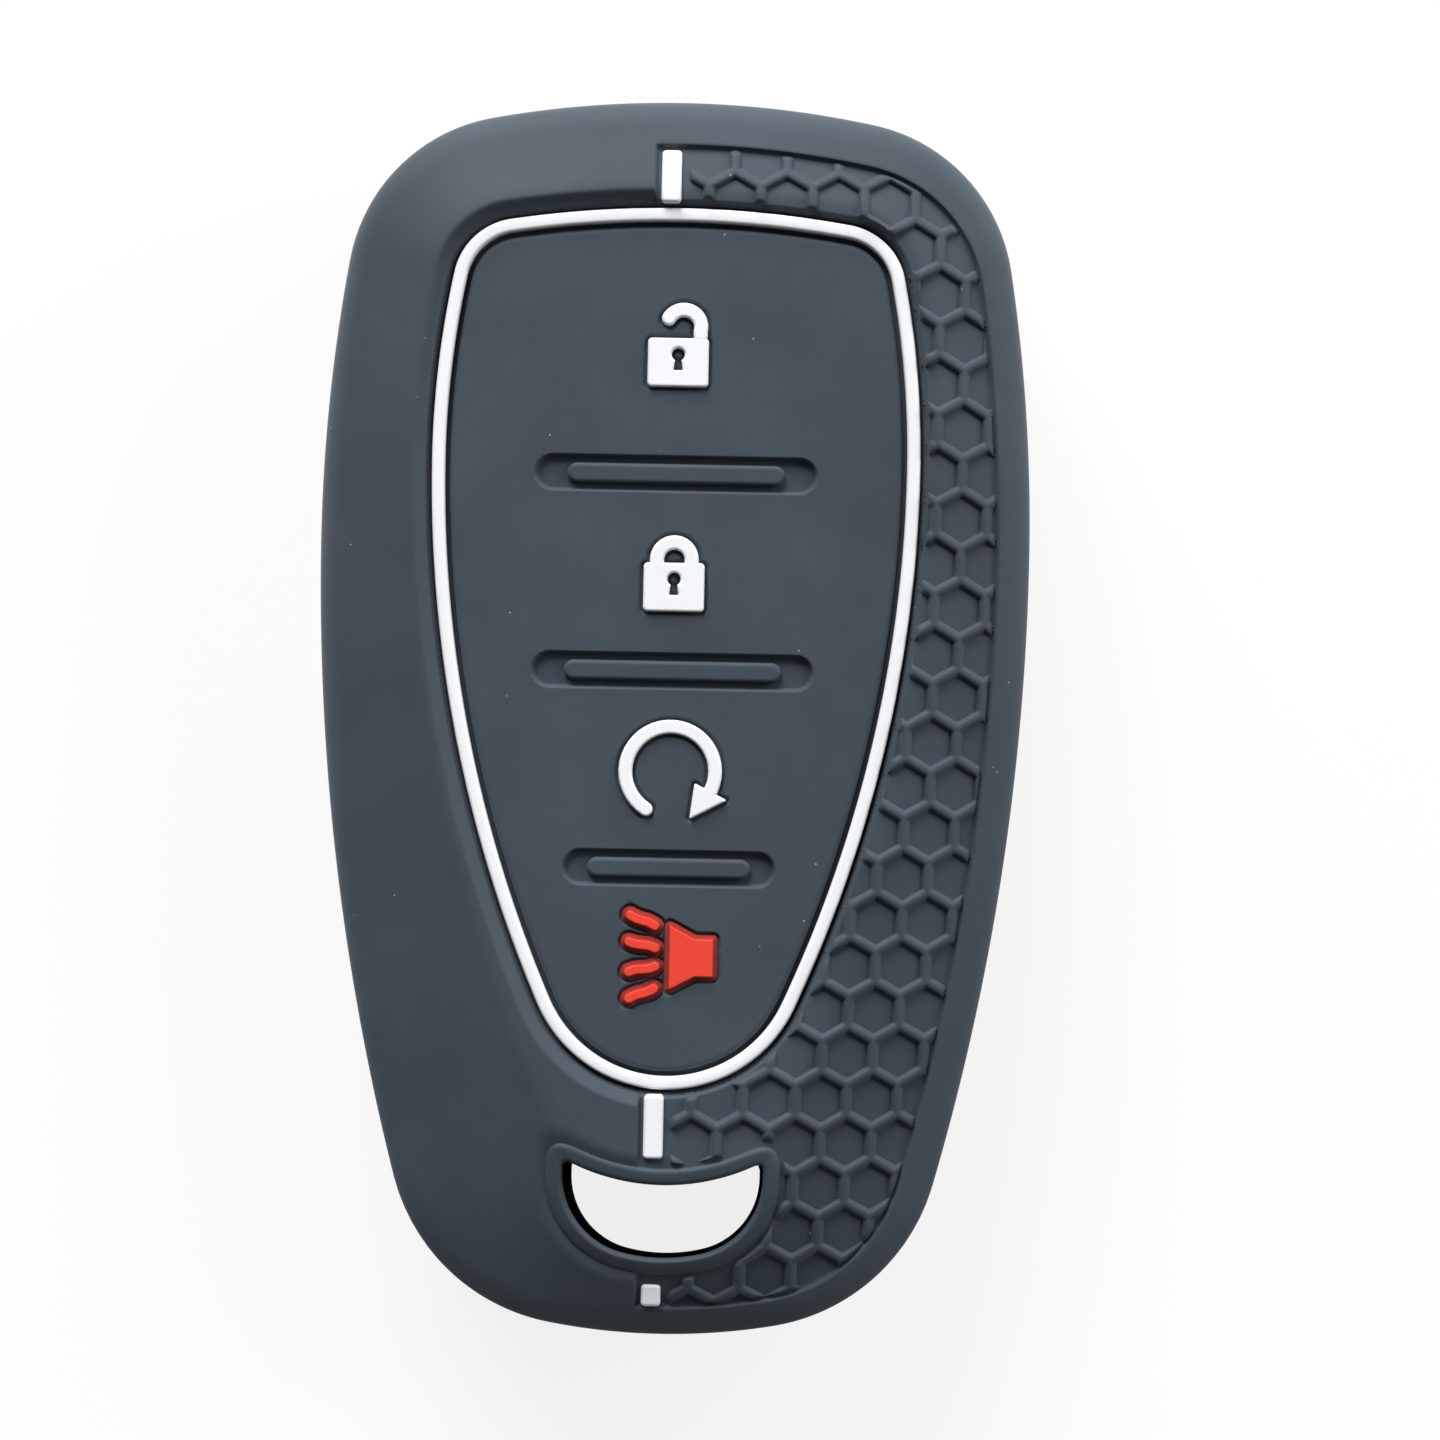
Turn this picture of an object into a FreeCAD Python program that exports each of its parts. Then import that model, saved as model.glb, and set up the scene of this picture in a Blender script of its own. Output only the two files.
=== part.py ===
import FreeCAD, Part
import math
import os

import Sketcher
from FreeCAD import Rotation, Vector

# Silicone cover for a car key fob. A soft black shell wraps the fob and is open at the back.
# Its face has four press pads inside a raised white ring, and a honeycomb grip on the right.
# X runs to the right, Y to the unlock end, Z out of the face. The back lip lies on Z = 0.

SIZES = [
    ("cover_length", 82.0, "whole length along Y"),
    ("cover_width", 47.2, "whole width along X"),
    ("cover_widest", 11.3, "height of the widest point above the middle"),
    ("cover_top_radius", 66.0, "arc across the unlock end"),
    ("cover_top_corner", 11.75, "corner beside that arc"),
    ("cover_side_radius", 114.0, "side above the widest point"),
    ("cover_flank_radius", 160.0, "side below the widest point"),
    ("cover_bottom_corner", 13.25, "corner beside the key ring end"),
    ("cover_bottom_radius", 42.5, "arc across the key ring end"),
    ("thickness", 17.5, "from the back lip to the face"),
    ("bevel_top", 2.1, "how far the face falls to the edge at the unlock end"),
    ("bevel_low", 4.0, "how far it falls at the key ring end"),
    ("fold_gap", 1.7, "from the ring to the fold where the face begins to fall"),
    ("fold_end", 7.8, "from that fold to the key ring end"),
    ("fold_flank_radius", 100.0, "fold's sides below its widest point"),
    ("fold_bottom_corner", 6.5, "fold's corners beside the key ring end"),
    ("fold_bottom_radius", 12.0, "fold's arc across the key ring end"),
    ("front_round", 4.5, "rounding from the side towards the face"),
    ("back_round", 3.5, "rounding from the back to the side"),
    ("cavity_round", 6.0, "rounding of the cavity in front"),
    ("side_wall", 1.6, "silicone beside the fob"),
    ("front_wall", 2.2, "silicone in front of the fob"),
    ("back_wall", 1.4, "silicone of the back lip"),
    ("ring_top", 33.1, "ring's upper end above the middle, on its centre line"),
    ("ring_bottom", 23.9, "ring's lower end below the middle"),
    ("ring_side_margin", 8.0, "from the cover's side to the ring's centre line"),
    ("ring_widest", 16.75, "height of the ring's widest point"),
    ("ring_top_radius", 68.0, "ring's arc across the top"),
    ("ring_top_corner", 4.0, "ring's upper corners"),
    ("ring_side_radius", 62.0, "ring's sides above the widest point"),
    ("ring_tip_radius", 8.8, "ring's rounded lower tip"),
    ("bead_width", 0.85, "white ring's own width"),
    ("bead_rise", 0.35, "white ring above the pads"),
    ("bead_round", 0.3, "rounding of the white ring's top"),
    ("moat", 0.25, "groove left on each side of the white ring"),
    ("groove_depth", 0.4, "groove's depth below the pads"),
    ("valley_depth", 0.9, "pads below the crest of the face"),
    ("valley_reach", 0.15, "flat floor outside the groove"),
    ("valley_slope", 0.9, "run of the slope from that floor to the crest"),
    ("window_margin", 1.5, "back window outside the ring's centre line"),
    ("pad_gap", 0.3, "clearance round each press pad"),
    ("pad_round", 0.25, "rounding of each pad's upper edge"),
    ("bridge_height", 3.8, "fixed strip between two pads"),
    ("web", 0.4, "thin flexing skin under each pad"),
    ("web_seat", 0.8, "that skin's bond to the frame"),
    ("divider_top", 16.1, "height of the upper divider"),
    ("divider_pitch", 12.95, "from one divider to the next"),
    ("slot_length", 18.5, "recess of the upper two dividers"),
    ("slot_short_length", 13.95, "recess of the lower divider"),
    ("slot_height", 2.36, "width of each recess"),
    ("slot_depth", 0.55, "depth of each recess"),
    ("ridge_end_gap", 2.1, "recess left at each end of a long ridge"),
    ("ridge_short_end_gap", 1.6, "recess left at each end of the short ridge"),
    ("ridge_side_gap", 0.52, "recess left above and below a ridge"),
    ("ridge_round", 0.2, "rounding of a ridge's top"),
    ("recess_depth", 0.45, "honeycomb recess below the face"),
    ("rim_width", 2.3, "rim left outside the honeycomb recess"),
    ("rim_top", 3.3, "that rim at the unlock end"),
    ("rim_low", 2.0, "that rim below the hole"),
    ("hole_width", 13.2, "key ring hole from ear to ear"),
    ("hole_floor", 5.4, "silicone below the hole"),
    ("hole_height", 5.0, "hole's height on the middle line"),
    ("hole_ear", 1.65, "how far its ears rise above that"),
    ("hole_corner", 5.2, "hole's lower corners"),
    ("hole_bottom_radius", 11.0, "hole's lower edge"),
    ("hole_back_shift", 1.5, "how much nearer the end the hole lies in the back wall"),
    ("lip_width", 0.95, "raised lip round the hole"),
    ("marker_width", 1.3, "white marker bars"),
    ("marker_rise", 0.45, "marker bars above the recess"),
    ("marker_gap", 0.05, "gap between a marker and the ring's groove"),
    ("marker_round", 0.15, "rounding of the marker bars"),
    ("marker_top_length", 3.55, "marker at the unlock end"),
    ("marker_mid_length", 4.2, "marker below the ring"),
    ("marker_low_length", 1.5, "marker below the hole"),
    ("marker_low_gap", 0.1, "gap between that marker and the rim"),
    ("hex_pitch", 3.4, "honeycomb cell across its flats"),
    ("hex_rib", 0.62, "width of a honeycomb rib"),
    ("hex_rise", 0.4, "height of a honeycomb rib"),
    ("hex_start", 4.0, "first row of ribs below the unlock end"),
    ("hex_shift", 3.5, "first rib beside the middle line"),
    ("grip_margin", 0.15, "ribs' distance from the rim, lip and markers"),
    ("grip_ring_gap", 0.6, "ribs' distance from the ring's groove"),
    ("symbol_rise", 0.35, "symbols above the pads"),
    ("symbol_seat", 0.4, "symbols' depth in the pads"),
    ("unlock_lift", 7.3, "open padlock above the upper divider"),
    ("lock_drop", 7.45, "closed padlock below the upper divider"),
    ("start_drop", 6.6, "round arrow below the middle divider"),
    ("panic_drop", 5.85, "horn below the lower divider"),
    ("lock_width", 4.0, "padlock body across"),
    ("lock_height", 3.2, "padlock body's height"),
    ("lock_round", 0.25, "padlock body's corners"),
    ("shackle_radius", 1.6, "outside of the shackle"),
    ("shackle_bar", 0.92, "thickness of the shackle"),
    ("shackle_lift", 0.2, "closed shackle's centre above the body"),
    ("open_shift", 0.33, "open shackle's centre right of the middle"),
    ("open_lift", 0.72, "open shackle's centre above the body"),
    ("open_end", 0.5, "open shackle's free end above its centre"),
    ("keyhole_radius", 0.45, "round part of the keyhole"),
    ("keyhole_length", 1.05, "keyhole's foot below its round part"),
    ("keyhole_foot", 0.66, "width of that foot"),
    ("arrow_radius", 3.42, "outside of the round arrow"),
    ("arrow_bar", 0.94, "thickness of the round arrow"),
    ("arrow_sweep", 271.0, "round arrow's sweep in degrees"),
    ("arrow_start", -27.0, "where that sweep begins"),
    ("arrow_head", 2.3, "width of the arrow's head"),
    ("arrow_point", 2.1, "length of the arrow's head"),
    ("arrow_turn", 10.0, "inward lean of the arrow's head in degrees"),
    ("horn_left", 0.1, "horn's mouth right of the middle"),
    ("horn_right", 3.1, "horn's back right of the middle"),
    ("horn_neck", 1.8, "where the horn stops narrowing"),
    ("horn_mouth", 4.3, "height of the horn's mouth"),
    ("horn_back", 2.6, "height of the horn's back"),
    ("wave_width", 0.74, "width of a sound wave"),
    ("wave_gap", 0.5, "gap between the waves and the horn"),
    ("wave_bend", 2.2, "radius of a wave's two bends"),
    ("wave_angle", 23.0, "sweep of each bend in degrees"),
    ("wave_inner_turn", 12.5, "tilt of the inner two waves in degrees"),
    ("wave_outer_turn", 22.5, "tilt of the outer two waves in degrees"),
    ("wave_pitch", 1.6, "distance from one wave to the next"),
]

doc = FreeCAD.newDocument("KeyFobCover")
sheet = doc.addObject("Spreadsheet::Sheet", "Sizes")
for row, (alias, number, note) in enumerate(SIZES, start=1):
    sheet.set(f"A{row}", alias)
    sheet.set(f"B{row}", str(number))
    sheet.set(f"C{row}", note)
    sheet.setAlias(f"B{row}", alias)
doc.recompute()

# Levels and outlines, written as expressions of the sheet's cells
FACE = "Sizes.thickness"
PAD_TOP = "(Sizes.thickness - Sizes.valley_depth)"
PAD_BOTTOM = "(Sizes.thickness - Sizes.front_wall)"
GROOVE_FLOOR = f"({PAD_TOP} - Sizes.groove_depth)"
HALF_LENGTH = "Sizes.cover_length / 2"
RING_HALF = "Sizes.bead_width / 2"
GROOVE_HALF = f"({RING_HALF} + Sizes.moat)"
RECESS_LEFT = "(Sizes.marker_width + Sizes.grip_margin)"
LAP = 1.0
EDGE_LAP = 0.2
TOUCH = 0.02
WHOLE = ("Sizes.cover_width", "Sizes.cover_length", f"{FACE} + {2 * LAP}")

COVER = {
    "half_width": "Sizes.cover_width / 2",
    "top": HALF_LENGTH,
    "bottom": HALF_LENGTH,
    "top_radius": "Sizes.cover_top_radius",
    "top_corner": "Sizes.cover_top_corner",
    "side_radius": "Sizes.cover_side_radius",
    "flank_radius": "Sizes.cover_flank_radius",
    "bottom_corner": "Sizes.cover_bottom_corner",
    "bottom_radius": "Sizes.cover_bottom_radius",
    "widest": "Sizes.cover_widest",
}
# The honeycomb recess follows the cover's outline, with a rim of its own width at each end.
RECESS = dict(
    COVER,
    top=f"{HALF_LENGTH} - Sizes.rim_top + Sizes.rim_width",
    bottom=f"{HALF_LENGTH} - Sizes.rim_low + Sizes.rim_width",
)
# The face is flat inside this fold and falls from it to the edge.
FOLD = {
    "half_width": "(Sizes.cover_width / 2 - Sizes.ring_side_margin + Sizes.fold_gap)",
    "top": "(Sizes.ring_top + Sizes.fold_gap)",
    "bottom": f"({HALF_LENGTH} - Sizes.fold_end)",
    "top_radius": "(Sizes.ring_top_radius + Sizes.fold_gap)",
    "top_corner": "(Sizes.ring_top_corner + Sizes.fold_gap)",
    "side_radius": "(Sizes.ring_side_radius + Sizes.fold_gap)",
    "flank_radius": "Sizes.fold_flank_radius",
    "bottom_corner": "Sizes.fold_bottom_corner",
    "bottom_radius": "Sizes.fold_bottom_radius",
    "widest": "Sizes.ring_widest",
}
# The ring's flank has no radius of its own: it is the arc that touches the rounded tip.
RING = {
    "half_width": "(Sizes.cover_width / 2 - Sizes.ring_side_margin)",
    "top": "Sizes.ring_top",
    "bottom": "Sizes.ring_bottom",
    "top_radius": "Sizes.ring_top_radius",
    "top_corner": "Sizes.ring_top_corner",
    "side_radius": "Sizes.ring_side_radius",
    "bottom_radius": "Sizes.ring_tip_radius",
    "widest": "Sizes.ring_widest",
}


def value(expression):
    """The number that an expression of the sheet's cells has now."""
    return float(sheet.evalExpression(expression))


def bind(thing, **properties):
    """Binds properties to expressions; a double underscore stands for a dot."""
    for name, expression in properties.items():
        thing.setExpression(name.replace("__", "."), str(expression))
    return thing


def corner_centre(centre_a, reach_a, centre_b, reach_b, up):
    """The point at the two given distances from two centres, the upper or the lower of the pair."""
    across = centre_b - centre_a
    gap = across.Length
    along = (reach_a**2 - reach_b**2 + gap**2) / (2 * gap)
    side = math.sqrt(reach_a**2 - along**2)
    unit = across / gap
    normal = Vector(-unit.y, unit.x, 0)
    foot = centre_a + unit * along
    return max((foot + normal * side, foot - normal * side), key=lambda p: p.y if up else -p.y)


def heading(start, end):
    return math.atan2(end.y - start.y, end.x - start.x)


def outline_arcs(shape, inset):
    """Centres, radii and end angles of an outline's arcs, anticlockwise from its right widest point."""
    at = {key: value(f"{text} - ({inset})") for key, text in shape.items()}
    widest = value(shape["widest"])
    half, low = at["half_width"], at["bottom_radius"]
    side = Vector(half - at["side_radius"], widest, 0)
    top = Vector(0, at["top"] - at["top_radius"], 0)
    tip = Vector(0, low - at["bottom"], 0)
    corner_r = at["top_corner"]
    corner = corner_centre(top, at["top_radius"] - corner_r, side, at["side_radius"] - corner_r, True)
    one, two = heading(side, corner), heading(top, corner)
    right = [(side, at["side_radius"], 0, one), (corner, corner_r, one, two)]
    if "bottom_corner" in shape:
        flank_r, low_r = at["flank_radius"], at["bottom_corner"]
        flank = Vector(half - flank_r, widest, 0)
        foot = corner_centre(tip, low - low_r, flank, flank_r - low_r, False)
        three, four = heading(flank, foot), heading(tip, foot)
        lower = [(foot, low_r, four, three), (flank, flank_r, three, 0)]
    else:
        drop = widest - tip.y
        flank_r = (half**2 + drop**2 - low**2) / (2 * (half - low))
        flank = Vector(half - flank_r, widest, 0)
        four = heading(flank, tip)
        lower = [(flank, flank_r, four, 0)]

    def mirrored(arc):
        centre, radius, start, end = arc
        return Vector(-centre.x, centre.y, 0), radius, math.pi - end, math.pi - start

    arcs = right + [(top, at["top_radius"], two, math.pi - two)]
    arcs += [mirrored(arc) for arc in reversed(right)]
    arcs += [mirrored(arc) for arc in reversed(lower)]
    arcs += [(tip, low, math.pi - four, 2 * math.pi + four)] + lower
    return arcs


def add_outline(sketch, shape, inset="0", tag="outline"):
    """Draws an outline of tangent arcs, symmetrical about Y, and binds its sizes to the sheet."""
    arcs = outline_arcs(shape, inset)
    count = len(arcs)
    first = sketch.GeometryCount
    for centre, radius, start, end in arcs:
        circle = Part.Circle(centre, Vector(0, 0, 1), radius)
        sketch.addGeometry(Part.ArcOfCircle(circle, start, end), False)
    cornered = "bottom_corner" in shape
    side, corner, top, top_left, side_left, flank_left = range(first, first + 6)
    tip = first + (7 if cornered else 6)
    flank = first + count - 1
    START, END, CENTRE = 1, 2, 3
    ORIGIN, ROOT, VERTICAL = -1, 1, -2

    def rule(*words):
        return sketch.addConstraint(Sketcher.Constraint(*words))

    def sized(name, text, *words):
        number = value(text)
        index = rule(*words, number)
        sketch.renameConstraint(index, f"{tag}_{name}")
        sketch.setExpression(f"Constraints.{tag}_{name}", text)

    def less(key):
        return f"{shape[key]} - ({inset})"

    def touch(one, two):
        rule("Tangent", one, END, two, START)

    def meet(one, two):
        rule("Coincident", one, END, two, START)

    def mirror(one, end_one, two, end_two):
        rule("Symmetric", one, end_one, two, end_two, VERTICAL)

    sized("half_width", less("half_width"), "DistanceX", ORIGIN, ROOT, side, START)
    sized("widest", shape["widest"], "DistanceY", ORIGIN, ROOT, side, START)
    rule("Horizontal", side, START, side, CENTRE)
    sized("side_radius", less("side_radius"), "Radius", side)
    sized("top_corner", less("top_corner"), "Radius", corner)
    sized("top_radius", less("top_radius"), "Radius", top)
    touch(side, corner)
    touch(corner, top)
    rule("Horizontal", top, START, top, END)
    meet(top, top_left)
    mirror(top_left, END, corner, START)
    rule("Equal", top_left, corner)
    meet(top_left, side_left)
    mirror(side_left, END, side, START)
    rule("Equal", side_left, side)
    meet(side_left, flank_left)
    rule("Equal", flank_left, flank)
    meet(flank, side)
    rule("Horizontal", flank, END, flank, CENTRE)
    mirror(flank_left, END, flank, START)
    sized("bottom_radius", less("bottom_radius"), "Radius", tip)
    rule("Horizontal", tip, START, tip, END)
    if cornered:
        foot_left, foot = tip - 1, tip + 1
        sized("flank_radius", less("flank_radius"), "Radius", flank)
        sized("bottom_corner", less("bottom_corner"), "Radius", foot)
        touch(tip, foot)
        touch(foot, flank)
        rule("Equal", foot_left, foot)
        meet(flank_left, foot_left)
        meet(foot_left, tip)
    else:
        touch(tip, flank)
    for arc, name, up in ((top, "top", 1), (tip, "bottom", -1)):
        rule("PointOnObject", arc, CENTRE, VERTICAL)
        crown = sketch.addGeometry(Part.Point(Vector(0, up * value(less(name)), 0)), True)
        rule("PointOnObject", crown, START, VERTICAL)
        rule("PointOnObject", crown, START, arc)
        ends = (ORIGIN, ROOT, crown, START) if up > 0 else (crown, START, ORIGIN, ROOT)
        sized(name, less(name), "DistanceY", *ends)


def new_body(name):
    return doc.addObject("PartDesign::Body", name)


def new_sketch(body, name, level="0", right="0", up="0"):
    """A sketch on the body's own XY plane, moved by bound offsets."""
    sketch = body.newObject("Sketcher::SketchObject", name)
    plane = next(f for f in body.Origin.OriginFeatures if f.Role == "XY_Plane")
    sketch.AttachmentSupport = [(plane, "")]
    sketch.MapMode = "FlatFace"
    bind(sketch, AttachmentOffset__Base__x=right, AttachmentOffset__Base__y=up)
    bind(sketch, AttachmentOffset__Base__z=level)
    return sketch


def raise_pad(body, sketch, height):
    pad = body.newObject("PartDesign::Pad", sketch.Name + "_pad")
    pad.Profile = sketch
    bind(pad, Length=height)
    body.Tip = pad
    doc.recompute()
    return pad


def round_edges(body, chosen, radius):
    """Fillets the edges of the body's last feature that the given test picks."""
    base = body.Tip
    names = [f"Edge{n}" for n, edge in enumerate(base.Shape.Edges, start=1) if chosen(edge)]
    fillet = body.newObject("PartDesign::Fillet", f"{body.Name}_round")
    fillet.Base = (base, names)
    bind(fillet, Radius=radius)
    body.Tip = fillet
    doc.recompute()
    return fillet


def lies_at(level):
    height = value(level)
    return lambda edge: max(abs(edge.BoundBox.ZMin - height), abs(edge.BoundBox.ZMax - height)) < 1e-6


def outline_body(name, shape, inset, low, high, hole_inset=None):
    """A slab with an outline's shape between two levels, with a second outline cut out if given."""
    body = new_body(name)
    sketch = new_sketch(body, name + "_sketch", level=low)
    add_outline(sketch, shape, inset)
    if hole_inset:
        add_outline(sketch, shape, hole_inset, "hole")
    raise_pad(body, sketch, f"{high} - ({low})")
    return body


def box(name, x, y, z, length, width, height):
    thing = doc.addObject("Part::Box", name)
    bind(thing, Placement__Base__x=x, Placement__Base__y=y, Placement__Base__z=z)
    return bind(thing, Length=length, Width=width, Height=height)


def cylinder(name, x, y, z, radius, height):
    thing = doc.addObject("Part::Cylinder", name)
    bind(thing, Placement__Base__x=x, Placement__Base__y=y, Placement__Base__z=z)
    return bind(thing, Radius=radius, Height=height)


def cut(name, base, tool):
    thing = doc.addObject("Part::Cut", name)
    thing.Base, thing.Tool = base, tool
    return thing


def common(name, base, tool):
    thing = doc.addObject("Part::Common", name)
    thing.Base, thing.Tool = base, tool
    return thing


def fuse(name, *things):
    thing = doc.addObject("Part::MultiFuse", name)
    thing.Shapes = list(things)
    thing.Refine = True
    return thing


pieces = []


def keep(thing, label):
    """Marks a finished piece, which is written out under its label."""
    thing.Label = label
    pieces.append(thing)
    return thing


# Key ring hole: a smile, with a flat-bottomed bowl below and an upper edge that sags between two ears
def hole_sketch(body, name, level, shift="0"):
    sketch = new_sketch(body, name, level=level, up=f"Sizes.hole_floor - {shift} - {HALF_LENGTH}")
    half, high, ear = value("Sizes.hole_width") / 2, value("Sizes.hole_height"), value("Sizes.hole_ear")
    corner_r, low_r = value("Sizes.hole_corner"), value("Sizes.hole_bottom_radius")
    corner = Vector(half - corner_r, 0, 0)
    corner.y = low_r - math.sqrt((low_r - corner_r) ** 2 - corner.x**2)
    low = Vector(0, low_r, 0)
    turn = heading(low, corner)
    sag_r = (half**2 + ear**2) / (2 * ear)
    sag = Vector(0, high + sag_r, 0)
    right_ear = Vector(half, high + ear, 0)
    open_angle = heading(sag, right_ear)
    up = Vector(0, 0, 1)

    def arc(centre, radius, start, end):
        return sketch.addGeometry(Part.ArcOfCircle(Part.Circle(centre, up, radius), start, end), False)

    bottom = arc(low, low_r, math.pi - turn, 2 * math.pi + turn)
    right = arc(corner, corner_r, turn, 0)
    wall = sketch.addGeometry(Part.LineSegment(Vector(half, corner.y, 0), right_ear), False)
    top = arc(sag, sag_r, math.pi - open_angle, 2 * math.pi + open_angle)
    left_wall = sketch.addGeometry(
        Part.LineSegment(Vector(-half, high + ear, 0), Vector(-half, corner.y, 0)), False
    )
    left = arc(Vector(-corner.x, corner.y, 0), corner_r, math.pi, math.pi - turn)

    def rule(*words):
        return sketch.addConstraint(Sketcher.Constraint(*words))

    def sized(label, text, *words):
        sketch.renameConstraint(rule(*words, value(text)), label)
        sketch.setExpression(f"Constraints.{label}", text)

    rule("Tangent", bottom, 2, right, 1)
    rule("Tangent", right, 2, wall, 1)
    rule("Coincident", wall, 2, top, 2)
    rule("Coincident", top, 1, left_wall, 1)
    rule("Coincident", left_wall, 2, left, 1)
    rule("Coincident", left, 2, bottom, 1)
    rule("Vertical", wall)
    rule("PointOnObject", bottom, 3, -2)
    rule("Horizontal", bottom, 1, bottom, 2)
    rule("PointOnObject", -1, 1, bottom)
    rule("PointOnObject", top, 3, -2)
    rule("Horizontal", top, 1, top, 2)
    rule("Equal", left, right)
    rule("Symmetric", left_wall, 2, wall, 1, -2)
    sized("bottom_radius", "Sizes.hole_bottom_radius", "Radius", bottom)
    sized("corner", "Sizes.hole_corner", "Radius", right)
    sized("half_width", "Sizes.hole_width / 2", "DistanceX", -1, 1, wall, 2)
    sized("ear", "Sizes.hole_height + Sizes.hole_ear", "DistanceY", -1, 1, wall, 2)
    dip = sketch.addGeometry(Part.Point(Vector(0, high, 0)), True)
    rule("PointOnObject", dip, 1, -2)
    rule("PointOnObject", dip, 1, top)
    sized("dip", "Sizes.hole_height", "DistanceY", -1, 1, dip, 1)
    return sketch


hole = new_body("hole_tool")
raise_pad(hole, hole_sketch(hole, "hole_tool_sketch", f"-{LAP}"), f"{FACE} + {2 * LAP}")
back_hole = new_body("back_hole_tool")
back_hole_edge = hole_sketch(back_hole, "back_hole_sketch", f"-{LAP}", "Sizes.hole_back_shift")
raise_pad(back_hole, back_hole_edge, f"Sizes.back_wall + {2 * LAP}")
lip_edge = doc.addObject("Part::Offset2D", "lip_edge")
lip_edge.Source = hole.Group[0]
bind(lip_edge, Value="Sizes.lip_width")
lip = doc.addObject("Part::Extrusion", "lip_tool")
lip.Base = lip_edge
lip.DirMode = "Custom"
lip.Dir = Vector(0, 0, 1)
lip.Solid = True
bind(lip, LengthFwd=f"{FACE} + {2 * LAP}")
doc.recompute()


def free_outline(name, shape, inset, level):
    """An outline that lies loose at a level, for lofts and faces."""
    sketch = doc.addObject("Sketcher::SketchObject", name)
    bind(sketch, Placement__Base__z=level)
    add_outline(sketch, shape, inset)
    return sketch


def sloped_block(name, depth):
    """Everything below the face at a depth: flat inside the fold, falling to a tilted edge outside it."""
    edge_level = f"{FACE} - (Sizes.bevel_top + Sizes.bevel_low) / 2 - ({depth})"
    edge = free_outline(f"{name}_edge", COVER, f"-{EDGE_LAP}", edge_level)
    edge.Placement.Rotation = Rotation(Vector(1, 0, 0), 1)
    tilt = "atan((Sizes.bevel_low - Sizes.bevel_top) / Sizes.cover_length)"
    bind(edge, Placement__Rotation__Angle=tilt)
    block = doc.addObject("Part::Loft", name)
    block.Sections = [
        free_outline(f"{name}_foot", COVER, f"-{EDGE_LAP}", f"-{LAP}"),
        edge,
        free_outline(f"{name}_fold", FOLD, "0", f"{FACE} - ({depth})"),
    ]
    block.Solid = True
    block.Ruled = True
    return block


# Shell: the rounded outer shape, less the fob's cavity and everything sunk into the face
outer_blank = outline_body("outer_blank", COVER, "0", "0", FACE)
round_edges(outer_blank, lies_at(FACE), "Sizes.front_round")
round_edges(outer_blank, lies_at("0"), "Sizes.back_round")
outer = common("outer", outer_blank, sloped_block("face_block", "0"))
cavity = outline_body("cavity", COVER, "Sizes.side_wall", "Sizes.back_wall", PAD_BOTTOM)
round_edges(cavity, lies_at(PAD_BOTTOM), "Sizes.cavity_round")
round_edges(cavity, lies_at("Sizes.back_wall"), "Sizes.back_round - Sizes.side_wall")
back_window = outline_body(
    "back_window", RING, "-Sizes.window_margin", f"-{LAP}", f"Sizes.back_wall + {LAP}"
)

FLOOR_EDGE = f"({GROOVE_HALF} + Sizes.valley_reach)"
MOUTH_EDGE = f"({FLOOR_EDGE} + 2 * Sizes.valley_slope)"
valley = doc.addObject("Part::Loft", "valley")
valley.Sections = [
    free_outline("valley_floor", RING, f"-{FLOOR_EDGE}", PAD_TOP),
    free_outline("valley_mouth", RING, f"-{MOUTH_EDGE}", f"{FACE} + Sizes.valley_depth"),
]
valley.Solid = True
valley.Ruled = True

# The honeycomb recess follows the face. The ground is what the ribs and markers stand on.
LOWEST = f"({FACE} - Sizes.bevel_low - Sizes.recess_depth)"
recess_floor = sloped_block("recess_floor", "Sizes.recess_depth")
ground = cut("ground", recess_floor, valley)
recess_blank = outline_body("recess_blank", RECESS, "Sizes.rim_width", LOWEST, f"{FACE} + {LAP}")
right_half = box("right_half", f"-{RECESS_LEFT}", f"-{HALF_LENGTH}", "0", *WHOLE)
recess_right = common("recess_right", recess_blank, right_half)
recess = cut("recess", cut("recess_beside_lip", recess_right, lip), recess_floor)
groove = outline_body("groove", RING, f"-{GROOVE_HALF}", GROOVE_FLOOR, FACE, GROOVE_HALF)


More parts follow.
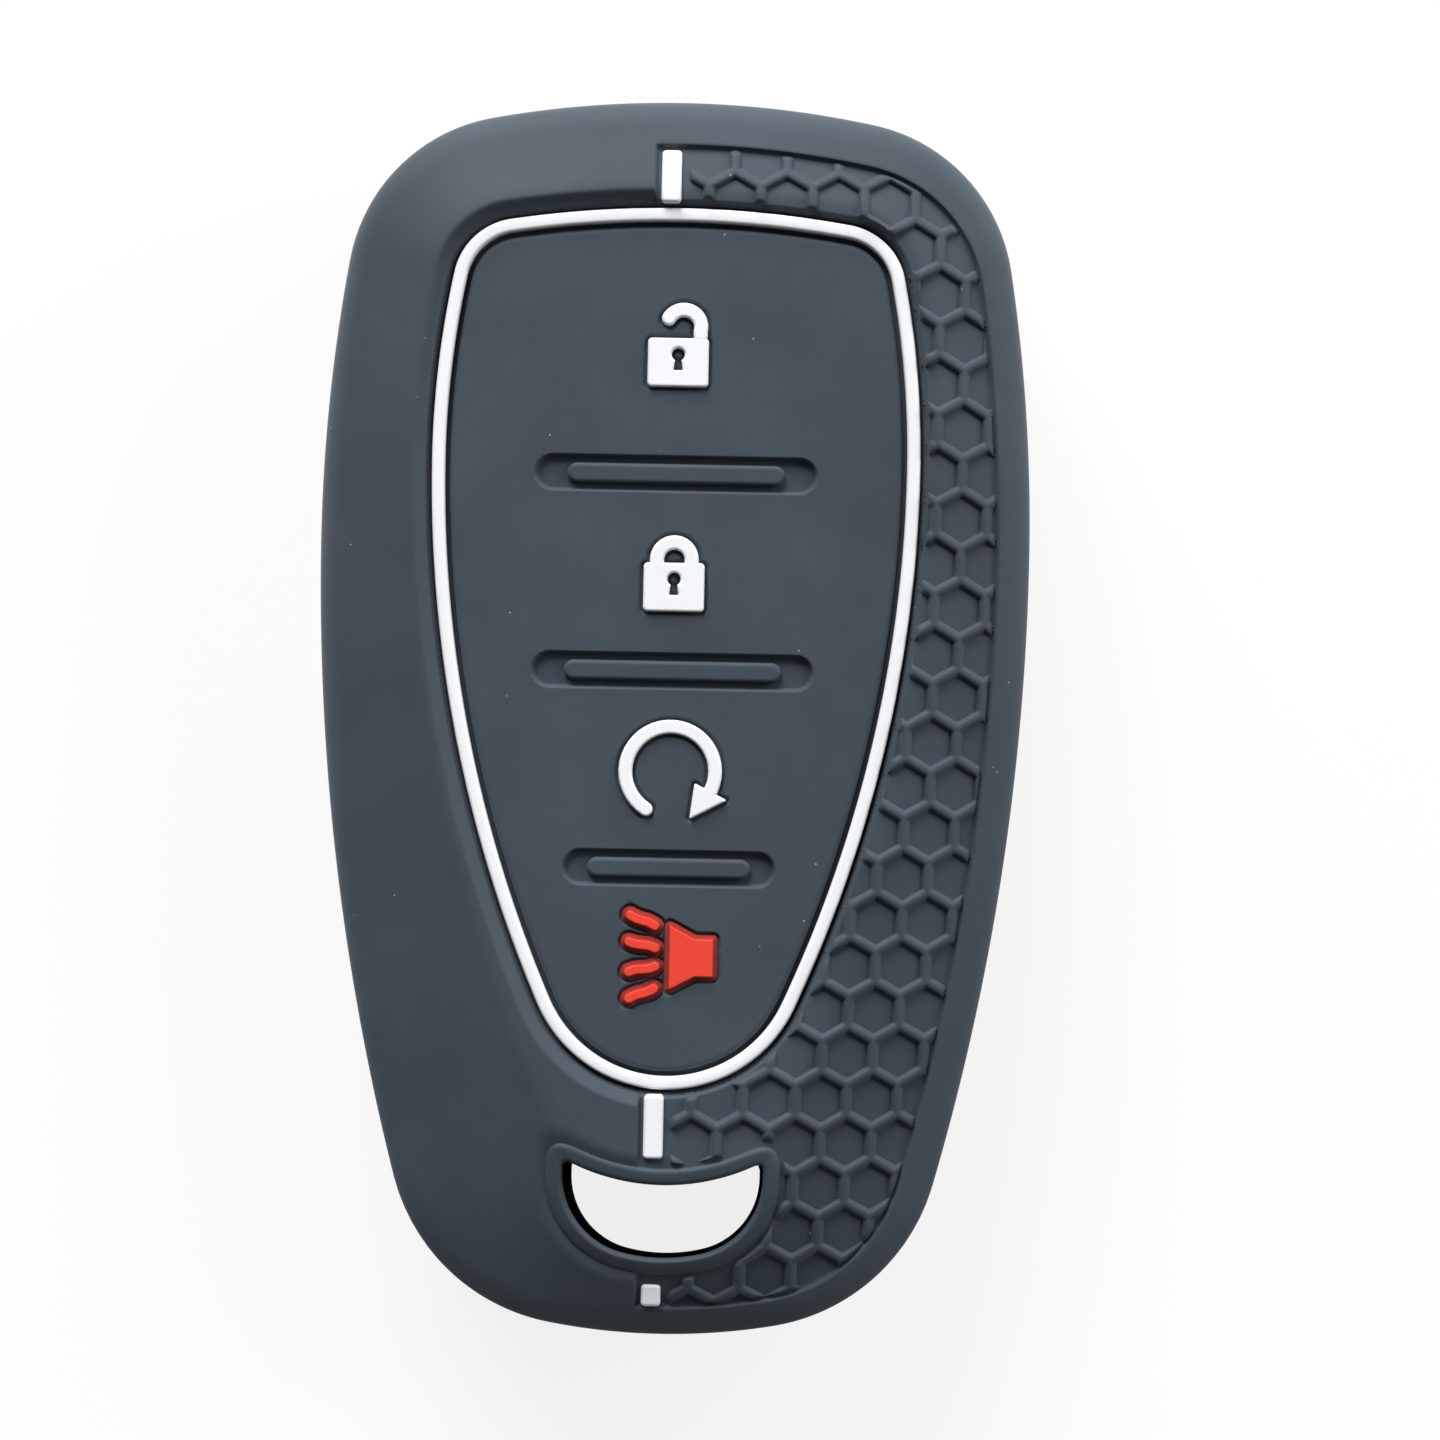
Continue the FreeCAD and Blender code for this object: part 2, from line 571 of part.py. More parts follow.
def stadium_body(name, up, length, width, low, high):
    """A bar with round ends, centred on the middle line, between two levels."""
    body = new_body(name)
    sketch = new_sketch(body, name + "_sketch", level=low, up=up)
    half_run, radius = (value(length) - value(width)) / 2, value(width) / 2
    normal = Vector(0, 0, 1)
    right = Part.Circle(Vector(half_run, 0, 0), normal, radius)
    left = Part.Circle(Vector(-half_run, 0, 0), normal, radius)
    sketch.addGeometry(Part.ArcOfCircle(right, -math.pi / 2, math.pi / 2), False)
    sketch.addGeometry(Part.LineSegment(Vector(half_run, radius, 0), Vector(-half_run, radius, 0)), False)
    sketch.addGeometry(Part.ArcOfCircle(left, math.pi / 2, 3 * math.pi / 2), False)
    sketch.addGeometry(Part.LineSegment(Vector(-half_run, -radius, 0), Vector(half_run, -radius, 0)), False)
    for one in range(4):
        sketch.addConstraint(Sketcher.Constraint("Tangent", one, 2, (one + 1) % 4, 1))
    sketch.addConstraint(Sketcher.Constraint("Equal", 0, 2))
    sketch.addConstraint(Sketcher.Constraint("Symmetric", 0, 3, 2, 3, -1, 1))
    sketch.addConstraint(Sketcher.Constraint("PointOnObject", 0, 3, -1))
    run = sketch.addConstraint(Sketcher.Constraint("DistanceX", 2, 3, 0, 3, 2 * half_run))
    sketch.setExpression(f"Constraints[{run}]", f"{length} - ({width})")
    end = sketch.addConstraint(Sketcher.Constraint("Radius", 0, radius))
    sketch.setExpression(f"Constraints[{end}]", f"({width}) / 2")
    raise_pad(body, sketch, f"{high} - ({low})")
    return body


# Dividers: three fixed strips between the pads, each with a recess and a low ridge in it
DIVIDERS = [
    ("upper", "Sizes.divider_top", "Sizes.slot_length", "Sizes.ridge_end_gap"),
    ("middle", "(Sizes.divider_top - Sizes.divider_pitch)", "Sizes.slot_length", "Sizes.ridge_end_gap"),
    (
        "lower",
        "(Sizes.divider_top - 2 * Sizes.divider_pitch)",
        "Sizes.slot_short_length",
        "Sizes.ridge_short_end_gap",
    ),
]
SLOT_FLOOR = f"({PAD_TOP} - Sizes.slot_depth)"
slots = []
for name, up, length, end_gap in DIVIDERS:
    slots.append(stadium_body(f"slot_{name}", up, length, "Sizes.slot_height", SLOT_FLOOR, FACE))
    ridge_length = f"({length} - 2 * {end_gap})"
    ridge_width = "(Sizes.slot_height - 2 * Sizes.ridge_side_gap)"
    ridge = stadium_body(f"ridge_{name}", up, ridge_length, ridge_width, SLOT_FLOOR, PAD_TOP)
    round_edges(ridge, lies_at(PAD_TOP), "Sizes.ridge_round")
    keep(ridge, f"divider_ridge_{name}")

# Press pads: the area inside the ring, cut at the dividers, each over a thin flexing web
UPPER, MIDDLE, LOWER = (up for name, up, length, end_gap in DIVIDERS)
HALF_BRIDGE = "Sizes.bridge_height / 2"
BUTTONS = [
    ("unlock", f"{UPPER} + {HALF_BRIDGE}", f"Sizes.ring_top + {LAP}"),
    ("lock", f"{MIDDLE} + {HALF_BRIDGE}", f"{UPPER} - {HALF_BRIDGE}"),
    ("start", f"{LOWER} + {HALF_BRIDGE}", f"{MIDDLE} - {HALF_BRIDGE}"),
    ("panic", f"-Sizes.ring_bottom - {LAP}", f"{LOWER} - {HALF_BRIDGE}"),
]
pad_blank = outline_body("pad_blank", RING, f"{GROOVE_HALF} + Sizes.pad_gap", PAD_BOTTOM, PAD_TOP)
window_blank = outline_body("window_blank", RING, GROOVE_HALF, f"{PAD_BOTTOM} - {LAP}", FACE)
web_blank = outline_body(
    "web_blank", RING, f"{GROOVE_HALF} - Sizes.web_seat", f"{PAD_BOTTOM} - Sizes.web", PAD_BOTTOM
)


def strip(name, low, high, margin):
    """A box over the whole width between two heights, wider by the margin at both."""
    width, depth, height = WHOLE
    depth = f"{high} - ({low}) + 2 * ({margin})"
    return box(name, "-Sizes.cover_width / 2", f"{low} - ({margin})", "0", width, depth, height)


windows, blanks = [], {}
for name, low, high in BUTTONS:
    through = strip(f"{name}_window_strip", low, high, "0")
    windows.append(common(f"{name}_window", window_blank, through))
    inside = strip(f"{name}_pad_strip", low, high, "-Sizes.pad_gap")
    blanks[name] = common(f"{name}_blank", pad_blank, inside)
    bonded = strip(f"{name}_web_strip", low, high, "Sizes.web_seat")
    keep(common(f"{name}_web", common(f"{name}_web_blank", web_blank, bonded), cavity), f"{name}_web")

sunk = fuse("sunk", cavity, back_window, valley, recess, groove, hole, back_hole, *slots, *windows)
shell = keep(cut("shell", outer, sunk), "cover_shell")

# White ring round the pads, standing in its groove
ring = outline_body("ring", RING, f"-{RING_HALF}", GROOVE_FLOOR, f"{PAD_TOP} + Sizes.bead_rise", RING_HALF)
round_edges(ring, lies_at(f"{PAD_TOP} + Sizes.bead_rise"), "Sizes.bead_round")
keep(ring, "outline_ring")

# White marker bars on the middle line, beside the honeycomb
RING_CLEAR = f"({GROOVE_HALF} + Sizes.marker_gap)"
MID_LENGTH = "Sizes.marker_mid_length"
MARKERS = [
    ("top_marker", f"Sizes.ring_top + {RING_CLEAR}", "Sizes.marker_top_length"),
    ("middle_marker", f"-Sizes.ring_bottom - {RING_CLEAR} - {MID_LENGTH}", MID_LENGTH),
    ("bottom_marker", f"Sizes.rim_low + Sizes.marker_low_gap - {HALF_LENGTH}", "Sizes.marker_low_length"),
]
marker_cap = sloped_block("marker_cap", "Sizes.recess_depth - Sizes.marker_rise")


def above_ground(edge):
    """Whether an edge of a marker is clear of the ground that the marker stands on."""
    return not ground.Shape.isInside(edge.CenterOfMass, TOUCH, True)


for label, low, length in MARKERS:
    tall = f"{FACE} - {LOWEST}"
    bar = box(f"{label}_bar", "-Sizes.marker_width", low, LOWEST, "Sizes.marker_width", length, tall)
    body = new_body(f"{label}_body")
    body.BaseFeature = cut(f"{label}_seated", common(f"{label}_capped", bar, marker_cap), ground)
    doc.recompute()
    round_edges(body, above_ground, "Sizes.marker_round")
    keep(body, label)

# Symbols, which stand in seats of their own shape in the pads
SEAT = f"({PAD_TOP} - Sizes.symbol_seat)"
TALL = "(Sizes.symbol_seat + Sizes.symbol_rise)"


def polygon_body(name, points, right, up, low, height):
    """A straight-sided slab whose corners are bound to expressions."""
    body = new_body(name)
    sketch = new_sketch(body, name + "_sketch", level=low, right=right, up=up)
    corners = [Vector(value(x), value(y), 0) for x, y in points]
    count = len(corners)
    for n in range(count):
        sketch.addGeometry(Part.LineSegment(corners[n], corners[(n + 1) % count]), False)
    for n, (x, y) in enumerate(points):
        sketch.addConstraint(Sketcher.Constraint("Coincident", n, 2, (n + 1) % count, 1))
        for kind, text in (("DistanceX", x), ("DistanceY", y)):
            index = sketch.addConstraint(Sketcher.Constraint(kind, -1, 1, n, 1, value(text)))
            sketch.setExpression(f"Constraints[{index}]", text)
    raise_pad(body, sketch, height)
    return body


def tube(name, x, y, radius, bar):
    """A flat ring of the symbols' height."""
    rim = cylinder(f"{name}_rim", x, y, SEAT, radius, TALL)
    eye = cylinder(f"{name}_eye", x, y, SEAT, f"{radius} - {bar}", TALL)
    return cut(name, rim, eye)


def padlock(name, up, bow):
    """A padlock: a round-cornered body with a keyhole, and the given shackle."""
    body = new_body(f"{name}_plate")
    plate = body.newObject("PartDesign::AdditiveBox", f"{name}_block")
    bind(plate, Placement__Base__x="-Sizes.lock_width / 2", Placement__Base__z=SEAT)
    bind(plate, Placement__Base__y=f"{up} - Sizes.lock_height / 2")
    bind(plate, Length="Sizes.lock_width", Width="Sizes.lock_height", Height=TALL)
    body.Tip = plate
    doc.recompute()
    upright = value(TALL)
    round_edges(body, lambda edge: abs(edge.BoundBox.ZLength - upright) < 1e-6, "Sizes.lock_round")
    eye_up = f"({up} + Sizes.keyhole_length / 2)"
    eye = cylinder(f"{name}_keyhole_eye", "0", eye_up, SEAT, "Sizes.keyhole_radius", TALL)
    foot = [
        ("-Sizes.keyhole_foot / 5", "0"),
        ("-Sizes.keyhole_foot / 2", "-Sizes.keyhole_length"),
        ("Sizes.keyhole_foot / 2", "-Sizes.keyhole_length"),
        ("Sizes.keyhole_foot / 5", "0"),
    ]
    slit = polygon_body(f"{name}_keyhole_foot", foot, "0", eye_up, SEAT, TALL)
    solid = fuse(f"{name}_solid", body, bow)
    return cut(f"{name}_symbol", solid, fuse(f"{name}_keyhole", eye, slit))


def closed_bow(up):
    """A shackle with both legs in the body."""
    top = f"({up} + Sizes.lock_height / 2)"
    middle = f"({top} + Sizes.shackle_lift)"
    loop = tube("lock_loop", "0", middle, "Sizes.shackle_radius", "Sizes.shackle_bar")
    reach = "Sizes.shackle_radius"
    lower = box("lock_lower", f"-{reach}", f"{middle} - {reach}", SEAT, f"2 * {reach}", reach, TALL)
    arch = cut("lock_arch", loop, lower)
    leg_low, leg_long = f"{top} - {LAP}", f"Sizes.shackle_lift + {LAP}"
    left = box("lock_left_leg", f"-{reach}", leg_low, SEAT, "Sizes.shackle_bar", leg_long, TALL)
    inner = f"{reach} - Sizes.shackle_bar"
    right = box("lock_right_leg", inner, leg_low, SEAT, "Sizes.shackle_bar", leg_long, TALL)
    return fuse("lock_bow", arch, left, right)


def open_bow(up):
    """A shackle that is swung up, with its left end free."""
    middle = f"({up} + Sizes.lock_height / 2 + Sizes.open_lift)"
    reach = "Sizes.shackle_radius"
    loop = tube("unlock_loop", "Sizes.open_shift", middle, reach, "Sizes.shackle_bar")
    left, low = f"Sizes.open_shift - {reach}", f"{middle} - {reach}"
    away = box("unlock_away", left, low, SEAT, reach, f"{reach} + Sizes.open_end", TALL)
    return cut("unlock_bow", loop, away)


def round_arrow(up):
    """A circle that runs clockwise from its foot to an arrow head."""
    loop = tube("start_loop", "0", up, "Sizes.arrow_radius", "Sizes.arrow_bar")
    reach = "2 * Sizes.arrow_radius"
    head_at, tail_at = "Sizes.arrow_start", "(Sizes.arrow_start + Sizes.arrow_sweep)"
    gap = [
        ("0", "0"),
        (f"{reach} * cos({tail_at})", f"{reach} * sin({tail_at})"),
        (f"{reach} * cos({head_at})", f"{reach} * sin({head_at})"),
    ]
    arc = cut("start_arc", loop, polygon_body("start_gap", gap, "0", up, SEAT, TALL))
    middle = "(Sizes.arrow_radius - Sizes.arrow_bar / 2)"
    aim = f"({head_at} - 90 - Sizes.arrow_turn)"
    inner, outer_edge = f"({middle} - Sizes.arrow_head / 2)", f"({middle} + Sizes.arrow_head / 2)"
    head = [
        (f"{inner} * cos({head_at})", f"{inner} * sin({head_at})"),
        (
            f"{middle} * cos({head_at}) + Sizes.arrow_point * cos({aim})",
            f"{middle} * sin({head_at}) + Sizes.arrow_point * sin({aim})",
        ),
        (f"{outer_edge} * cos({head_at})", f"{outer_edge} * sin({head_at})"),
    ]
    return fuse("start_arrow", arc, polygon_body("start_head", head, "0", up, SEAT, TALL))


UNLOCK_UP = f"({UPPER} + Sizes.unlock_lift)"
LOCK_UP = f"({UPPER} - Sizes.lock_drop)"
START_UP = f"({MIDDLE} - Sizes.start_drop)"
PANIC_UP = f"({LOWER} - Sizes.panic_drop)"
symbols = {
    "unlock": [keep(padlock("unlock", UNLOCK_UP, open_bow(UNLOCK_UP)), "unlock_symbol")],
    "lock": [keep(padlock("lock", LOCK_UP, closed_bow(LOCK_UP)), "lock_symbol")],
    "start": [keep(round_arrow(START_UP), "start_symbol")],
}
horn = [
    ("Sizes.horn_left", "-Sizes.horn_mouth / 2"),
    ("Sizes.horn_neck", "-Sizes.horn_back / 2"),
    ("Sizes.horn_right", "-Sizes.horn_back / 2"),
    ("Sizes.horn_right", "Sizes.horn_back / 2"),
    ("Sizes.horn_neck", "Sizes.horn_back / 2"),
    ("Sizes.horn_left", "Sizes.horn_mouth / 2"),
]
symbols["panic"] = [keep(polygon_body("horn", horn, "0", PANIC_UP, SEAT, TALL), "horn_symbol")]


def wave_shape(bend, width, sweep, height):
    """A bar along two opposite bends through the origin, with round ends, as a solid."""
    half = width / 2

    def point(radius, angle):
        return Vector(radius * math.sin(angle), bend - radius * math.cos(angle), 0)

    def edge(radius):
        return point(radius, 0), point(radius, sweep / 2), point(radius, sweep)

    near, far = edge(bend + half), edge(bend - half)
    middle = point(bend, sweep)
    tip = middle + Vector(math.cos(sweep), math.sin(sweep), 0) * half
    right = [Part.Arc(*near).toShape(), Part.Arc(near[2], tip, far[2]).toShape(), Part.Arc(*far).toShape()]
    left = [arc.rotated(Vector(0, 0, 0), Vector(0, 0, 1), 180) for arc in right]
    wire = Part.Wire(Part.sortEdges(right + left)[0])
    return Part.Face(wire).extrude(Vector(0, 0, height))


bend, wave_width = value("Sizes.wave_bend"), value("Sizes.wave_width")
wave_sweep = math.radians(value("Sizes.wave_angle"))
wave_half = bend * math.sin(wave_sweep) + wave_width / 2
for number in range(4):
    place = 1.5 - number
    turn = value("Sizes.wave_outer_turn" if abs(place) > 1 else "Sizes.wave_inner_turn")
    lean = turn - value("Sizes.wave_angle") / 2
    wave = doc.addObject("Part::Feature", f"wave_{number + 1}")
    shape = wave_shape(bend, wave_width, wave_sweep, value(TALL))
    wave.Shape = shape.mirror(Vector(0, 0, 0), Vector(0, 1, 0)) if place > 0 else shape
    wave.Placement.Rotation = Rotation(Vector(0, 0, 1), -math.copysign(1, place) * lean)
    bind(wave, Placement__Base__x=f"Sizes.horn_left - Sizes.wave_gap - {wave_half}")
    bind(wave, Placement__Base__y=f"{PANIC_UP} + {place} * Sizes.wave_pitch", Placement__Base__z=SEAT)
    symbols["panic"].append(keep(wave, f"sound_wave_{number + 1}"))
doc.recompute()

for name, low, high in BUTTONS:
    body = new_body(f"{name}_pad_body")
    body.BaseFeature = blanks[name]
    doc.recompute()
    round_edges(body, lies_at(PAD_TOP), "Sizes.pad_round")
    marks = symbols[name]
    seat = marks[0] if len(marks) == 1 else fuse(f"{name}_marks", *marks)
    keep(cut(f"{name}_pad", body, seat), f"{name}_pad")


# Honeycomb grip: ribs between six-sided cells, over the recess right of the middle line
def hexagon(centre, across):
    """A six-sided face that stands on a corner, given its width across the flats."""
    radius = across / math.sqrt(3)
    turns = [math.radians(30 + 60 * n) for n in range(6)]
    corners = [centre + Vector(radius * math.cos(t), radius * math.sin(t), 0) for t in turns]
    return Part.Face(Part.makePolygon(corners + corners[:1]))


def face_of(sketch):
    return Part.Face(Part.Wire(Part.sortEdges(sketch.Shape.Edges)[0]))


grip_edge = free_outline("grip_edge", RECESS, "Sizes.rim_width + Sizes.grip_margin", LOWEST)
ring_edge = free_outline("ring_edge", RING, f"-({GROOVE_HALF} + Sizes.grip_ring_gap)", LOWEST)
rib_cap = sloped_block("rib_cap", "Sizes.recess_depth - Sizes.hex_rise")
doc.recompute()
floor = value(LOWEST)
pitch, margin = value("Sizes.hex_pitch"), value("Sizes.grip_margin")
half_length, half_width = value(HALF_LENGTH), value("Sizes.cover_width / 2")
band = face_of(grip_edge)
middle_strip = Part.makePlane(half_width, 2 * half_length, Vector(margin, -half_length, floor))
lip_face = Part.Face(Part.Wire(Part.sortEdges(lip_edge.Shape.Edges)[0]))
lip_face.translate(Vector(0, 0, floor - lip_face.BoundBox.ZMin))
field = band.common(middle_strip).cut([face_of(ring_edge), lip_face])
first_up = half_length - value("Sizes.hex_start")
row_pitch = pitch * math.sqrt(3) / 2
rows = int(2 * half_length / row_pitch) + 3
columns = int(half_width / pitch) + 3
cells = []
for row in range(-1, rows):
    shift = value("Sizes.hex_shift") - pitch / 2 + (pitch / 2 if row % 2 else 0)
    for column in range(-2, columns):
        centre = Vector(shift + column * pitch, first_up - row * row_pitch, floor)
        cells.append(hexagon(centre, pitch - value("Sizes.hex_rib")))
ribs = field.cut(cells)
grip = doc.addObject("Part::Feature", "grip")
upright = Vector(0, 0, value(FACE) - floor)
walls = [face.extrude(upright) for face in ribs.Faces if face.Area > 0.5]
solids = [wall.common(rib_cap.Shape).cut(ground.Shape) for wall in walls]
grip.Shape = Part.makeCompound(solids) if len(solids) > 1 else solids[0]
keep(grip, "honeycomb_grip")
doc.recompute()

for thing in doc.Objects:
    if "Invalid" in thing.State or "Error" in thing.State:
        raise RuntimeError(f"{thing.Label} did not compute")
os.makedirs("parts", exist_ok=True)
for thing in pieces:
    shape = thing.Shape
    if shape.isNull() or not shape.isValid() or shape.Volume <= 0:
        raise RuntimeError(f"{thing.Label} has no valid solid")
    shape.exportStep(f"parts/{thing.Label}.step")
    print(f"{thing.Label}: {len(shape.Solids)} solid, {shape.Volume:.2f} mm3")
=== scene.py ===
# %% [markdown]
# # A silicone cover for a key fob
# The cover is one soft black moulding that a key fob slips into. White and red
# silicone is moulded into its face: a ring, marker bars and the symbols of four
# press pads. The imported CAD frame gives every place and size, so the pieces below
# are worked out in the same millimetres and laid straight over it.

# %% The frame
import math
import bmesh
import bpy
import numpy as np
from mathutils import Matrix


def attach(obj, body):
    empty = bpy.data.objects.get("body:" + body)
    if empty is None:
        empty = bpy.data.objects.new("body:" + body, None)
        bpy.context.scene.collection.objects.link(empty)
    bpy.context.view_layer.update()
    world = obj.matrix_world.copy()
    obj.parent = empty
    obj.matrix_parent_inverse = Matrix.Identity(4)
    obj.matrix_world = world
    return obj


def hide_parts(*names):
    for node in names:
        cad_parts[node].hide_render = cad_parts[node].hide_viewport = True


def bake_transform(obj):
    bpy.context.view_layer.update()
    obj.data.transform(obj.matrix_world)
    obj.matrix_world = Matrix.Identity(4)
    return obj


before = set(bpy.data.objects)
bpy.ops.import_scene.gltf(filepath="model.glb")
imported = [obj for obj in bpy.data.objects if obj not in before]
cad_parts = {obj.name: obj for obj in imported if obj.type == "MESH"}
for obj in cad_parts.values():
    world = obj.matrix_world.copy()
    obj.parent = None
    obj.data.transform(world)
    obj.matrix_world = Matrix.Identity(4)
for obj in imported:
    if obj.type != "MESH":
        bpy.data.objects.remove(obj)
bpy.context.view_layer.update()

MM = 0.001

# %% [markdown]
# ## Camera, floor and light
# The picture was taken straight down on the face, a little to the right of the
# middle and turned by one degree. A camera can be aimed with a constraint or set
# by hand. Here its place and turn are given, because height, side step and roll are known.
# The lens follows from the height and the width that the frame has to show.

# %% Camera
FACE_PLANE = 13.0
CAMERA_HEIGHT = 240.0
CAMERA_SIDE = 3.2
CAMERA_ROLL = 1.12
FRAME_WIDTH = 96.0
SENSOR = 36.0
lens = bpy.data.cameras.new("photo_camera")
lens.sensor_width = SENSOR
lens.lens = SENSOR * CAMERA_HEIGHT / FRAME_WIDTH
lens.clip_start, lens.clip_end = 0.01, 10.0
camera = bpy.data.objects.new("photo_camera", lens)
camera.location = (CAMERA_SIDE * MM, 0.0, (FACE_PLANE + CAMERA_HEIGHT) * MM)
camera.rotation_euler = (0.0, 0.0, math.radians(CAMERA_ROLL))
bpy.context.scene.collection.objects.link(camera)
bpy.context.scene.camera = camera
print(f"camera {CAMERA_HEIGHT:.0f} mm above the rim, lens {lens.lens:.1f} mm")


# %% Floor and lights
def feed(tree, socket, value):
    """Links a socket to another socket, or sets it to a value."""
    if isinstance(value, bpy.types.NodeSocket):
        tree.links.new(value, socket)
    else:
        socket.default_value = value


def node(tree, kind, **inputs):
    """Adds a shader node and feeds its named inputs. Two underscores stand for a space."""
    made = tree.nodes.new(kind)
    for name, value in inputs.items():
        feed(tree, made.inputs[name.replace("__", " ")], value)
    return made


def lit_floor(glow_share):
    """A pale diffuse floor. To the camera a share of it glows, so that it stays pale in shade."""
    finish = bpy.data.materials.new("pale_floor")
    finish.use_nodes = True
    tree = finish.node_tree
    tree.nodes.clear()
    matt = node(tree, "ShaderNodeBsdfDiffuse", Color=(0.86, 0.86, 0.87, 1.0))
    glow = node(tree, "ShaderNodeEmission", Color=(0.985, 0.985, 0.985, 1.0))
    path = tree.nodes.new("ShaderNodeLightPath")
    share = tree.nodes.new("ShaderNodeMath")
    share.operation = "MULTIPLY"
    feed(tree, share.inputs[0], path.outputs["Is Camera Ray"])
    feed(tree, share.inputs[1], glow_share)
    mix = tree.nodes.new("ShaderNodeMixShader")
    for socket, source in zip(mix.inputs, (share, matt, glow)):
        feed(tree, socket, source.outputs[0])
    node(tree, "ShaderNodeOutputMaterial", Surface=mix.outputs[0])
    return finish


def soft_lamp(name, place, size, power):
    """A square lamp at a place in metres, turned towards the middle of the cover."""
    data = bpy.data.lights.new(name, "AREA")
    data.size = size
    data.energy = power
    lamp = bpy.data.objects.new(name, data)
    lamp.location = place
    lamp.rotation_euler = (-lamp.location).to_track_quat("-Z", "Y").to_euler()
    bpy.context.scene.collection.objects.link(lamp)


FLOOR_EDGE, FLOOR_DROP = 20.0, 5e-5
corner_signs = [(-1, -1), (1, -1), (1, 1), (-1, 1)]
floor_corners = [(x * FLOOR_EDGE, y * FLOOR_EDGE, -FLOOR_DROP) for x, y in corner_signs]
floor_mesh = bpy.data.meshes.new("floor")
floor_mesh.from_pydata(floor_corners, [], [(0, 1, 2, 3)])
floor_mesh.materials.append(lit_floor(0.86))
floor = bpy.data.objects.new("floor", floor_mesh)
bpy.context.scene.collection.objects.link(floor)

soft_lamp("window_light", (-0.3, 1.05, 0.6), 0.8, 28.6)
soft_lamp("room_light", (0.9, 0.5, 0.5), 0.8, 9.8)
world = bpy.data.worlds.new("studio")
world.use_nodes = True
sky = world.node_tree.nodes["Background"]
sky.inputs["Color"].default_value = (0.93, 0.96, 1.0, 1.0)
sky.inputs["Strength"].default_value = 0.15
bpy.context.scene.world = world
bpy.context.scene.view_settings.view_transform = "Standard"
print("floor, two soft lamps and a grey-white sky")


# %% [markdown]
# ## Silicone finishes
# Moulded silicone is matt, with the fine spark-eroded grain of its mould, a slight
# unevenness of tone and a few specks of dust that it attracts. Pictures could carry
# that, but noise on Object coordinates needs none and never shows a seam.

# %% Silicone
# Sockets of a mix node that mixes colours: factor, first colour, second colour and result.
MIX_INPUTS, MIX_OUTPUT = (0, 6, 7), 2


def shade(colour, factor):
    """A colour times a factor, at most 1, and opaque."""
    return (*(min(1.0, c * factor) for c in colour), 1.0)


def mix_colours(tree, *values):
    """Adds a node that mixes by a factor from a first colour to a second one."""
    made = tree.nodes.new("ShaderNodeMix")
    made.data_type = "RGBA"
    for number, value in zip(MIX_INPUTS, values):
        feed(tree, made.inputs[number], value)
    return made.outputs[MIX_OUTPUT]


def silicone(name, colour, tone, rough, grain, dust, side_shade=1.0):
    """Matt silicone: colour times a slow noise, fine noise as bump, sheen and specks of dust.
    A speck is where the distance to the nearest Voronoi point is close to nought. Sides that
    do not face up are painted a darker colour, as painted shade."""
    finish = bpy.data.materials.new(name)
    finish.use_nodes = True
    tree = finish.node_tree
    place = tree.nodes.new("ShaderNodeTexCoord").outputs["Object"]
    cloud = node(tree, "ShaderNodeTexNoise", Vector=place, Scale=110.0, Detail=4.0, Roughness=0.6)
    fine = node(tree, "ShaderNodeTexNoise", Vector=place, Scale=5200.0, Detail=3.0, Roughness=0.65)
    specks = node(tree, "ShaderNodeTexVoronoi", Vector=place, Scale=dust)
    base = node(tree, "ShaderNodeValToRGB", Fac=cloud.outputs[0])
    for stop, position, factor in zip(base.color_ramp.elements, (0.3, 0.7), (1 - tone, 1 + tone)):
        stop.position = position
        stop.color = shade(colour, factor)
    spot = node(tree, "ShaderNodeMapRange", Value=specks.outputs["Distance"],
                From__Min=0.02, From__Max=0.03, To__Min=0.6, To__Max=0.0)
    surface_colour = mix_colours(tree, spot.outputs[0], base.outputs["Color"], (0.42, 0.43, 0.44, 1.0))
    # Painted shade: faces that do not point up are mixed towards a darker copy of the colour.
    if side_shade < 1.0:
        normal = tree.nodes.new("ShaderNodeNewGeometry").outputs["Normal"]
        upward = node(tree, "ShaderNodeSeparateXYZ", Vector=normal).outputs["Z"]
        slope = node(tree, "ShaderNodeMapRange", Value=upward, From__Min=0.55, From__Max=0.95)
        surface_colour = mix_colours(tree, slope.outputs[0], shade(colour, side_shade), surface_colour)
    gloss = node(tree, "ShaderNodeMapRange", Value=cloud.outputs[0],
                 To__Min=rough - 0.06, To__Max=rough + 0.06)
    bump = node(tree, "ShaderNodeBump", Height=fine.outputs[0], Strength=grain, Distance=2e-5)
    skin = tree.nodes["Principled BSDF"].inputs
    feed(tree, skin["Base Color"], surface_colour)
    feed(tree, skin["Roughness"], gloss.outputs[0])
    feed(tree, skin["Normal"], bump.outputs["Normal"])
    feed(tree, skin["Sheen Weight"], 0.08)
    feed(tree, skin["Sheen Roughness"], 0.5)
    feed(tree, skin["Specular IOR Level"], 0.2)
    return finish


black = silicone("black_silicone_grain", (0.0405, 0.0555, 0.071), 0.10, 0.62, 0.30, 420.0)
white = silicone("white_silicone_satin", (0.745, 0.76, 0.778), 0.02, 0.50, 0.12, 60.0)
# The last value paints the sides of the red figures darker, as painted shade.
red = silicone("red_silicone_satin", (0.70, 0.050, 0.029), 0.06, 0.50, 0.15, 60.0, 0.36)
print("finishes:", black.name, white.name, red.name)


# %% [markdown]
# ## Outlines of touching arcs
# The cover's edge, the recess, the fold and the ring are ovals of arcs that touch, so
# that the direction never jumps. A spline would do for looks. With arcs, a point is
# found from the direction that the edge faces there, and a parallel line only changes
# the radii.

